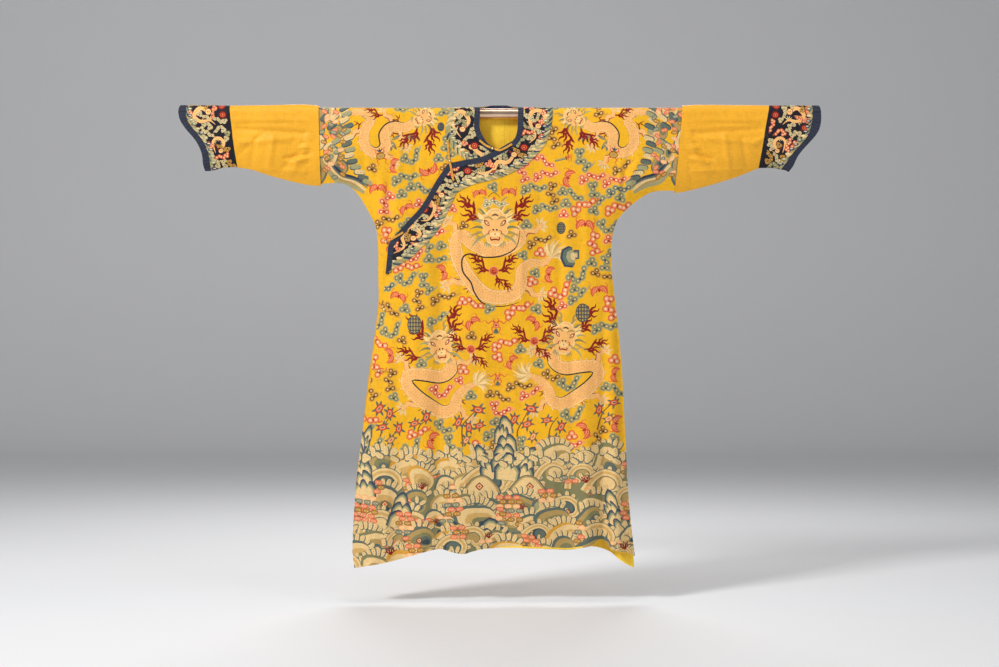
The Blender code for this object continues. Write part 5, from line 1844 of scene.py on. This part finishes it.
def cord_material(weave):
    """Yellow silk cord, unevenly darker and lighter in streaks."""
    made, tree, shader = new_material("cord_silk", Sheen_Weight=0.3, Specular_IOR_Level=0.4, Roughness=0.55)
    threads = place_group(tree, weave, Pitch=1500.0, Slub=0.4)
    dark, light = (0.35, (0.6, 0.24, 0.01, 1)), (0.65, (0.95, 0.5, 0.05, 1))
    give_ramp(tree, shader, threads.outputs["Shade"], dark, light)
    give_relief(tree, shader, threads.outputs["Height"], 0.5, 0.0004)
    return made


def metal_material(name, light, dark, brushing, age, roughness):
    """Satin metal with fine brushing along the piece and dull patches."""
    made, tree, shader = new_material(name, Metallic=1.0)
    lines = grain(tree, object_place(tree), brushing, 3.0)
    wear = place_group(tree, age, Size=14.0, Spots=0.5)
    brushed, worn = maths(tree, "MULTIPLY", lines, 0.6), maths(tree, "MULTIPLY", wear.outputs["Fade"], 0.4)
    mixed = maths(tree, "ADD", brushed, worn)
    give_ramp(tree, shader, mixed, (0.25, dark), (0.7, light))
    tree.links.new(spread(tree, mixed, 0.0, 1.0, *roughness), shader.inputs["Roughness"])
    give_relief(tree, shader, lines, 0.15, 0.0002)
    return made


WEAVE, AGE = make_weave_group(), make_age_group()
FIGURED = cloth_material("figured_silk", WEAVE, AGE)
SATIN = cloth_material("sleeve_silk", WEAVE, AGE, bump=0.18, roughness=(0.6, 0.42), stain=0.12, sheen=0.08)
LINING = cloth_material("lining_silk", WEAVE, AGE, bump=0.18, roughness=(0.6, 0.45), stain=0.2)
DARK = cloth_material("band_silk", WEAVE, AGE, stain=0.1)
BINDING = cloth_material(
    "binding_silk_ribbed", WEAVE, AGE, pitch=600.0, bump=0.5, roughness=(0.7, 0.5), stain=0.05
)
CORD = cord_material(WEAVE)
BUTTON = metal_material(
    "button_metal_worn", (0.9, 0.8, 0.58, 1), (0.5, 0.38, 0.2, 1), (260, 260, 260), AGE, (0.26, 0.42)
)
ROD = metal_material(
    "rod_metal_brushed", (0.9, 0.64, 0.46, 1), (0.56, 0.34, 0.23, 1), (6, 700, 700), AGE, (0.22, 0.36)
)

# Outlines of the pieces


def leftward(outline):
    """The outline in the direction that keeps its inside on the left."""
    x, s = outline.T
    area = (x * np.roll(s, -1) - np.roll(x, -1) * s).sum()
    return outline if area > 0 else outline[::-1]


def half_of(outline, x, side):
    """The part of an outline beyond this x, with points along the new edge. Side is 1 or -1."""
    kept = []
    crossings = []
    count = len(outline)
    for i in range(count):
        a, b = outline[i], outline[(i + 1) % count]
        if (a[0] - x) * side >= 0:
            kept.append(tuple(a))
        if (a[0] - x) * (b[0] - x) < 0:
            s = a[1] + (b[1] - a[1]) * (x - a[0]) / (b[0] - a[0])
            kept.append((x, s))
            crossings.append((x, s))
    result = []
    for i, a in enumerate(kept):
        b = kept[(i + 1) % len(kept)]
        result.append(a)
        if a in crossings and b in crossings:
            steps = max(1, round(abs(a[1] - b[1]) / EDGE_STEP))
            result += [(x, a[1] + (b[1] - a[1]) * k / steps) for k in range(1, steps)]
    return np.array(result)


OUTER_TOP = curve(OVERLAP_TOP)
OUTER_DROP = curve(OVERLAP_EDGE)
OUTER_NECK_EDGE = joined(OUTER_DROP, OUTER_TOP)
OUTER_NECK_EDGE = np.concatenate([OUTER_NECK_EDGE, OUTER_TOP[-1:]])
OUTER_BINDING_EDGE = moved_aside(OUTER_NECK_EDGE, -BINDING_WIDTH)
OUTER_BINDING_EDGE[0] = OUTER_NECK_EDGE[0] + (5, -3)
OUTER_BINDING_EDGE[-1] = (75, SHOULDER)
OUTER_BAND_EDGE = np.concatenate([curve(OUTER_BAND_RIM)[:-1], curve(OUTER_BAND_DROP)])
INNER_NECK_EDGE = curve(INNER_NECK)
INNER_BINDING_EDGE = moved_aside(INNER_NECK_EDGE, -BINDING_WIDTH)
INNER_BINDING_EDGE[0] = (-75, SHOULDER)
INNER_BINDING_EDGE[-1] = (1, -127)
INNER_BAND_EDGE = curve(INNER_BAND_RIM)


def outer_front_outline():
    return leftward(joined(
        curve([(58, SHOULDER), (571, SHOULDER)]), curve(LEFT_SLEEVE_END), curve(LEFT_SIDE), curve(FRONT_HEM),
        curve(OUTER_FREE_EDGE), OUTER_DROP, OUTER_TOP,
    ))


def inner_front_outline():
    return leftward(joined(
        curve([(-562, SHOULDER), (-58, SHOULDER)]), INNER_NECK_EDGE, curve(INNER_FREE_EDGE),
        curve(INNER_HEM), curve(RIGHT_SIDE)[::-1], curve(RIGHT_SLEEVE_END),
    ))


# Half width and depth of the navy strip inside the back's neck edge
NECK_FACING = (80, 15)


def back_outline():
    return leftward(joined(
        curve([(-562, SHOULDER), (571, SHOULDER)]), curve(LEFT_SLEEVE_END),
        curve(LEFT_SIDE[:-1] + [(417, -1397)]), curve(BACK_HEM),
        curve(RIGHT_SIDE[:-1] + [(-450, -1378)])[::-1], curve(RIGHT_SLEEVE_END),
    ))


def extent(outline, area, skins):
    """Width and length of a cut in metres; a narrow strip is measured along its run."""
    width, length = (outline.max(axis=0) - outline.min(axis=0)) * MM
    if area < 0.4 * width * length * skins:
        way = np.roll(outline, -1, axis=0) - outline
        length = np.hypot(*way.T).sum() * MM / 2
        width = area / length / skins
    return float(width * skins), float(length)


def make_piece(name, node, slot, skins, materials, held, rests_on, **options):
    """One cloth piece from its skins, each as outline, shapes, surface, facing, ground, low, high."""
    cloth = ClothMesh()
    for skin in skins:
        cloth.add_skin(*skin, **options)
    made = cloth.make(name, [node], slot, materials)
    flat = extent(skins[0][0], cloth.flat_area, len(skins))
    min(cloth.flat_area, flat[0] * flat[1])
    print(name, len(made.data.polygons), "triangles")
    return made


def make_body():
    """Fronts and back."""
    silk = [FIGURED, LINING, FIGURED]
    low, high = -WALL / 2, WALL / 2
    front, inner, back = front_pattern(), inner_pattern(), back_pattern()
    gap = GAP / 2
    outer = outer_front_outline()
    for name, side in (("left", 1), ("overlap", -1)):
        outline = half_of(outer, FRONT_SEAM_X + gap * side, side)
        skin = (outline, front.shapes, on_outer_front, -1, "ground", low, high)
        make_piece(f"cloth_front_{name}", f"front_{name}", "silk", [skin], silk, "hung", ["hang_rod"])
    skin = (inner_front_outline(), inner.shapes, on_inner_front, -1, "ground", low, high)
    make_piece("cloth_front_inner", "front_inner", "silk", [skin], silk, "hung", ["hang_rod"])
    whole = back_outline()
    facing = [("navy", oval(0, SHOULDER, *NECK_FACING, 0, 40))]
    for name, side in (("left", 1), ("right", -1)):
        outline = half_of(whole, BACK_SEAM_X + gap * side, side)
        skin = (outline, back.shapes, on_back, 1, "ground", low, high)
        make_piece(
            f"cloth_back_{name}", f"back_{name}", "silk", [skin], silk, "hung", ["hang_rod"], behind=facing
        )


def binding_edge_and_crease_shade(edge, inner):
    """Dark lines across a binding, painted shade in the small creases where its stitches draw it in, and its
    lighter folded edge.
    """
    runs = np.concatenate([[0], np.cumsum(np.hypot(*np.diff(edge, axis=0).T))])
    ribs_and_crease_shade = [("slate_deep", strand(edge, [1.6], 6.0))]
    # Each dark line across is painted shade in a small crease where the binding is drawn in
    for i, run in enumerate(np.arange(CREASE_SHADE_PITCH / 2, runs[-1], CREASE_SHADE_PITCH)):
        start = np.array([np.interp(run, runs, edge[:, 0]), np.interp(run, runs, edge[:, 1])])
        gaps = np.hypot(*(inner - start).T)
        ribs_and_crease_shade.append(("ink", strand([start, inner[gaps.argmin()]], [0.5 + 0.3 * (i % 3)])))
    return ribs_and_crease_shade


def make_neck():
    """Dark bands and navy bindings round the neck and along the overlap."""
    low = WALL / 2 + GAP
    band, binding = low + BAND_WALL, low + WALL
    dark, navy = [DARK, DARK, DARK], [BINDING, BINDING, BINDING]
    rows = {
        "outer": (
            OUTER_NECK_EDGE, OUTER_BINDING_EDGE, OUTER_BAND_EDGE, OUTER_BAND_DRAGONS, on_outer_front, -1, 51
        ),
        "inner": (
            INNER_NECK_EDGE, INNER_BINDING_EDGE, INNER_BAND_EDGE[::-1], INNER_BAND_DRAGONS, on_inner_front,
            -1, 52
        ),
    }
    for name, (edge, inner, rim, dragons, surface, side, seed) in rows.items():
        zone = leftward(np.concatenate([inner, rim]))
        pattern = band_pattern(rim, zone, dragons, side, seed)
        under = "cloth_front_left" if name == "outer" else "cloth_front_inner"
        skin = (zone, pattern.shapes, surface, -1, "night", low, band, "night", "night")
        make_piece(f"band_{name}", f"neckband_{name}", "dark_silk", [skin], dark, "laid", [under])
        strip = leftward(np.concatenate([edge, inner[::-1]]))
        # The dark lines across the binding are painted crease shade, beside a lighter strip along its edge
        ribs_and_crease_shade = binding_edge_and_crease_shade(edge, inner)
        skin = (strip, ribs_and_crease_shade, surface, -1, "navy", low, binding, "navy", "navy")
        make_piece(
            f"binding_{name}", f"neck_binding_{name}", "binding_silk", [skin], navy, "laid", [under],
            steps=BINDING_STEPS, wave=ripples(edge, PUCKER_PITCH, PUCKER_DEPTH),
        )
    rim = curve(BACK_BAND_RIM)
    hood = curve(BACK_BINDING_RIM, 4)
    zone = leftward(np.concatenate([rim, hood[::-1]]))
    pattern = band_pattern(rim, zone, BACK_BAND_DRAGONS, -1, 53)
    skin = (zone, pattern.shapes, on_back, 1, "night", low, band, "night", "night")
    make_piece("band_back", "neckband_back", "dark_silk", [skin], dark, "laid", ["cloth_back_left"])
    top = curve([(75, SHOULDER), (-75, SHOULDER)], 4)
    strip = leftward(joined(hood, top[::-1]))
    skin = (strip, [], on_back, 1, "navy", low, binding, "navy", "navy")
    make_piece("binding_back", "neck_binding_back", "binding_silk", [skin], navy, "laid", ["cloth_back_left"])


def make_sleeves():
    """Plain sleeve lengths, horse-hoof cuffs and the bindings round their mouths."""
    sides = {
        "left": (1, LEFT_SLEEVE_RUN, LEFT_SLEEVE_SEAM, LEFT_CUFF_SEAM, LEFT_CUFF_LINE, LEFT_CUFF_EDGE),
        "right": (-1, RIGHT_SLEEVE_RUN, RIGHT_SLEEVE_SEAM, RIGHT_CUFF_SEAM, RIGHT_CUFF_LINE, RIGHT_CUFF_EDGE),
    }
    low, high = -WALL / 2, WALL / 2
    for side, (way, run, seam, cuff_seam, cuff_line, cuff_edge) in sides.items():
        lines = [across_sleeve(run, table) for table in (seam, cuff_seam, cuff_line, cuff_edge)]
        parts = (
            ("sleeve", lines[0], lines[1], "plain_silk", [SATIN, LINING, SATIN], "sleeve", "sleeve"),
            ("cuff", lines[1] + (GAP * way, 0), lines[2], "dark_silk", [DARK, DARK, DARK], "night", "night"),
            (
                "cuff_binding", lines[2] + (2 * GAP * way, 0), lines[3], "binding_silk",
                [BINDING, BINDING, BINDING], "navy", "navy",
            ),
        )
        for part, start, end, slot, materials, ground, edge in parts:
            steps = np.linspace(0, 1, 20)
            bottom = start[-1] + (end[-1] - start[-1]) * steps[:, None]
            bottom[:, 1] = along(run, bottom[:, 0], 2)
            top = start[0] + (end[0] - start[0]) * steps[:, None]
            outline = leftward(joined(start, bottom, end[::-1], top[::-1]))
            shapes = []
            if part == "cuff":
                shapes = cuff_pattern(outline, end, -way, 61 + way, way).shapes
            elif part == "cuff_binding":
                # The dark lines across the cuff binding are painted crease shade
                shapes = binding_edge_and_crease_shade(end, start)
            lining = "lining" if part == "sleeve" else ground
            skins = [
                (outline, shapes, on_sleeve(run, facing), facing, ground, low, high, lining, edge)
                for facing in (-1, 1)
            ]
            options = {"steps": SLEEVE_STEPS}
            if part == "cuff_binding":
                options = {"steps": BINDING_STEPS, "wave": ripples(end, PUCKER_PITCH, PUCKER_DEPTH)}
            make_piece(
                f"{part}_{side}_cloth", f"{part}_{side}", slot, skins, materials, "hung", ["hang_rod"],
                **options,
            )


# Cords, buttons and the rod

CORD_RADIUS = 1.5
BUTTON_RADIUS = 4.2
# Each fastening: where its tab ends and turns, its button, and where its loop turns and ends
TOGGLES = {
    "neck": [(-60, -84), (-42, -98), (-20, -109), (6, -114), (40, -96)],
    "corner": [(-157, -83), (-154, -124), (-151, -148), (-146, -172), (-139, -208)],
    "side": [(-374, -366), (-359, -376), (-346, -394), (-324, -384), (-293, -366)],
    "hip": [(-370, -578), (-364, -591), (-352, -601), (-341, -603), (-322, -606)],
    "vent": [(-383, -786), (-376, -790), (-367, -789), (-356, -788), (-336, -790)],
}
BUTTON_REACH = BUTTON_RADIUS + 3 * GAP
STRAND_OFFSET = 1.5
CORD_SIDES = 12
PLY_TURN = 7.0
PLY_DEPTH = 0.16


def front_of(trees, x, z, clear, reach):
    """A point this far in front of what is nearest to the front within reach of this x and z."""
    hits = []
    for tree in trees:
        for turn in range(6):
            side, up = math.cos(turn * math.pi / 3), math.sin(turn * math.pi / 3)
            start = Vector(((x + side * reach) * MM, -0.3, (z + up * reach) * MM))
            found = tree.ray_cast(start, Vector((0, 1, 0)))
            if found[0] is not None:
                hits.append(found[0].y / MM)
    return np.array((x, min(hits) - clear, z))


def smoothed(values, rounds):
    """Values evened out along a route, both ends kept."""
    for _ in range(rounds):
        values = np.concatenate([values[:1], (values[:-2] + 2 * values[1:-1] + values[2:]) / 4, values[-1:]])
    return values


def add_strand(work, route, radius, phase):
    """A round twisted strand along a route, with closed ends."""
    way = np.gradient(route, axis=0)
    way /= np.linalg.norm(way, axis=1)[:, None]
    out = np.array((0, -1.0, 0))
    side = np.cross(way, out)
    side /= np.linalg.norm(side, axis=1)[:, None]
    up = np.cross(side, way)
    run = np.concatenate([[0], np.cumsum(np.linalg.norm(np.diff(route, axis=0), axis=1))])
    rings = []
    for i, centre in enumerate(route):
        ring = []
        for k in range(CORD_SIDES):
            angle = 2 * math.pi * k / CORD_SIDES
            ply = 1 + PLY_DEPTH * math.cos(3 * angle + run[i] * 2 * math.pi / PLY_TURN * 1.5 + phase)
            spot = centre + (side[i] * math.cos(angle) + up[i] * math.sin(angle)) * radius * ply
            ring.append(work.verts.new(spot * MM))
        rings.append(ring)
    for low, high in zip(rings, rings[1:]):
        for k in range(CORD_SIDES):
            after = (k + 1) % CORD_SIDES
            work.faces.new((low[k], low[after], high[after], high[k]))
    work.faces.new(rings[0][::-1])
    work.faces.new(rings[-1])


def finish_solid(name, work, node, slot, material):
    """Makes the object of a closed bmesh, which stands for this node."""
    bmesh.ops.recalc_face_normals(work, faces=work.faces)
    riding(mesh_of(name, work, material), [node], slot)


def make_cord(name, node, trees, points):
    """A doubled cord sewn down on the cloth through these points."""
    flat = curve(points, 1.2)
    place = np.array([front_of(trees, x, z, CORD_RADIUS + 0.25, STRAND_OFFSET) for x, z in flat])
    place[:, 1] = np.minimum(smoothed(place[:, 1], 6), place[:, 1])
    place[:, 1] = smoothed(place[:, 1], 2)
    work = bmesh.new()
    for side in (-1, 1):
        line = moved_aside(flat, side * STRAND_OFFSET)
        route = np.column_stack([line[:, 0], place[:, 1], line[:, 1]])
        add_strand(work, route, CORD_RADIUS, side)
    finish_solid(name, work, node, "cord", CORD)


def make_button(name, node, centre):
    """A ball with fine upright grooves and a waist line."""
    work = bmesh.new()
    bmesh.ops.create_uvsphere(work, u_segments=48, v_segments=24, radius=BUTTON_RADIUS)
    for vert in work.verts:
        x, y, z = vert.co
        angle = math.atan2(z, x)
        rim = math.hypot(x, z) / BUTTON_RADIUS
        groove = 1 - 0.045 * rim * (0.5 + 0.5 * math.cos(8 * angle))
        waist = 1 - 0.05 * math.exp(-((y / 0.5) ** 2))
        vert.co = Vector((x * groove * waist, y, z * groove * waist))
    for vert in work.verts:
        vert.co = (vert.co + Vector(centre)) * MM
    finish_solid(name, work, node, "button_metal", BUTTON)


def make_toggles():
    """Cord tabs, ball buttons and cord loops."""
    graph = bpy.context.evaluated_depsgraph_get()
    names = (
        "cloth_front_left", "cloth_front_overlap", "cloth_front_inner", "cloth_back", "band_", "binding_"
    )
    cloth = [piece for piece in bpy.context.scene.objects if piece.name.startswith(names)]
    trees = [BVHTree.FromObject(piece, graph) for piece in cloth]
    for place, (tab_end, tab_turn, button, loop_turn, loop_end) in TOGGLES.items():
        centre = front_of(trees, *button, BUTTON_RADIUS + 0.3, 2.0)
        make_button(f"button_{place}", f"toggle_{place}_button", centre)
        for part, turn, end in (("tab", tab_turn, tab_end), ("loop", loop_turn, loop_end)):
            way = np.array(turn, float) - button
            start = np.array(button) + way / np.hypot(*way) * BUTTON_REACH
            make_cord(f"cord_{place}_{part}", f"toggle_{place}_{part}", trees, [tuple(start), turn, end])


ROD_HALF_LENGTH = 950.0
ROD_SIDES = 96
ROD_PROFILE = [(0, 0.0), (0, 12.0), (0.4, 14.6), (1.6, 15.7), (3.5, ROD_RADIUS)]


def make_rod():
    """The rod, turned smooth, with rounded ends."""
    work = bmesh.new()
    half = [(ROD_HALF_LENGTH - inset, radius) for inset, radius in ROD_PROFILE]
    middle = [(x, ROD_RADIUS) for x in np.linspace(ROD_HALF_LENGTH - 20, -ROD_HALF_LENGTH + 20, 40)]
    profile = half + middle + [(-x, radius) for x, radius in reversed(half)]
    rings = []
    for x, radius in profile:
        if radius == 0:
            rings.append([work.verts.new((x * MM, 0, 0))])
            continue
        angles = [2 * math.pi * k / ROD_SIDES for k in range(ROD_SIDES)]
        rings.append(
            [work.verts.new((x * MM, radius * math.cos(a) * MM, radius * math.sin(a) * MM)) for a in angles]
        )
    for low, high in zip(rings, rings[1:]):
        for k in range(ROD_SIDES):
            after = (k + 1) % ROD_SIDES
            corners = [low[k % len(low)], low[after % len(low)], high[after % len(high)], high[k % len(high)]]
            work.faces.new(dict.fromkeys(corners))
    finish_solid("rod_turned", work, "hang_rod", "rod_metal", ROD)


# Floor, light and camera

FLOOR_Z = -1.5
FLOOR_HALF_WIDTH, FLOOR_NEAR, FLOOR_FAR = 10.0, -9.0, 6.6
WALL_BEND, WALL_TOP = 1.6, 7.0
CAMERA = (0.0015, -5.5, -0.675)
LENS, SENSOR = 64.5, 36
# Lights: name, place, target, width and height, power
LIGHTS = [
    ("key", (-4.6, -4.4, 3.6), (0, 0, -0.6), (1.5, 1.5), 450),
    ("fill", (4.0, -4.0, 0.4), (0, 0, -0.7), (2.0, 2.0), 60),
    ("top", (0.3, -0.8, 2.6), (0, 0, -0.5), (2.6, 0.8), 30),
    ("back", (0, 2.6, 1.8), (0, 0, -0.4), (2.4, 1.2), 60),
]
SURROUNDINGS = {"Color": (0.9, 0.92, 0.95, 1), "Strength": 0.2}


def plain(name, colour, roughness):
    """A dull finish with hardly visible cloudiness."""
    made, tree, shader = new_material(name, Roughness=roughness)
    clouds = grain(tree, object_place(tree), 3.0, 3.0)
    give_ramp(tree, shader, clouds, (0.0, (*(c * 0.98 for c in colour), 1)), (1.0, (*colour, 1)))
    return made


def make_floor():
    """A pale floor that turns up into a wall far behind."""
    work = bmesh.new()
    bend = [
        (FLOOR_FAR + WALL_BEND * math.sin(a), WALL_BEND - WALL_BEND * math.cos(a))
        for a in np.linspace(0, math.pi / 2, 14)
    ]
    profile = [(FLOOR_NEAR, 0.0), *bend, (FLOOR_FAR + WALL_BEND, WALL_TOP)]
    sides = (-FLOOR_HALF_WIDTH, FLOOR_HALF_WIDTH)
    rows = [[work.verts.new((x, y, FLOOR_Z + z)) for x in sides] for y, z in profile]
    for (a, b), (c, d) in zip(rows, rows[1:]):
        work.faces.new((a, b, d, c))
    floor = linked("floor", mesh_of("floor", work, plain("floor_pale", (0.8, 0.8, 0.81), 0.7)))


def make_lights():
    """A large soft key from the upper left, a weaker fill, a top and a back light, pale surroundings."""
    for name, place, target, size, power in LIGHTS:
        lamp = bpy.data.lights.new(name, "AREA")
        lamp.shape = "RECTANGLE"
        lamp.size, lamp.size_y = size
        lamp.energy = power
        made = linked(name, lamp)
        made.location = place
        made.rotation_euler = (Vector(target) - Vector(place)).to_track_quat("-Z", "Y").to_euler()
    world = bpy.data.worlds.new("surroundings")
    world.use_nodes = True
    for label, value in SURROUNDINGS.items():
        world.node_tree.nodes["Background"].inputs[label].default_value = value
    bpy.context.scene.world = world


def make_camera():
    lens = bpy.data.cameras.new("camera")
    lens.lens = LENS
    lens.sensor_width = SENSOR
    made = linked("camera", lens)
    made.location = CAMERA
    made.rotation_euler = (math.pi / 2, 0, 0)
    bpy.context.scene.camera = made


def main():
    bpy.context.scene.view_settings.view_transform = "Standard"
    make_camera()
    make_lights()
    make_floor()
    make_body()
    make_neck()
    make_sleeves()
    make_toggles()
    make_rod()


main()
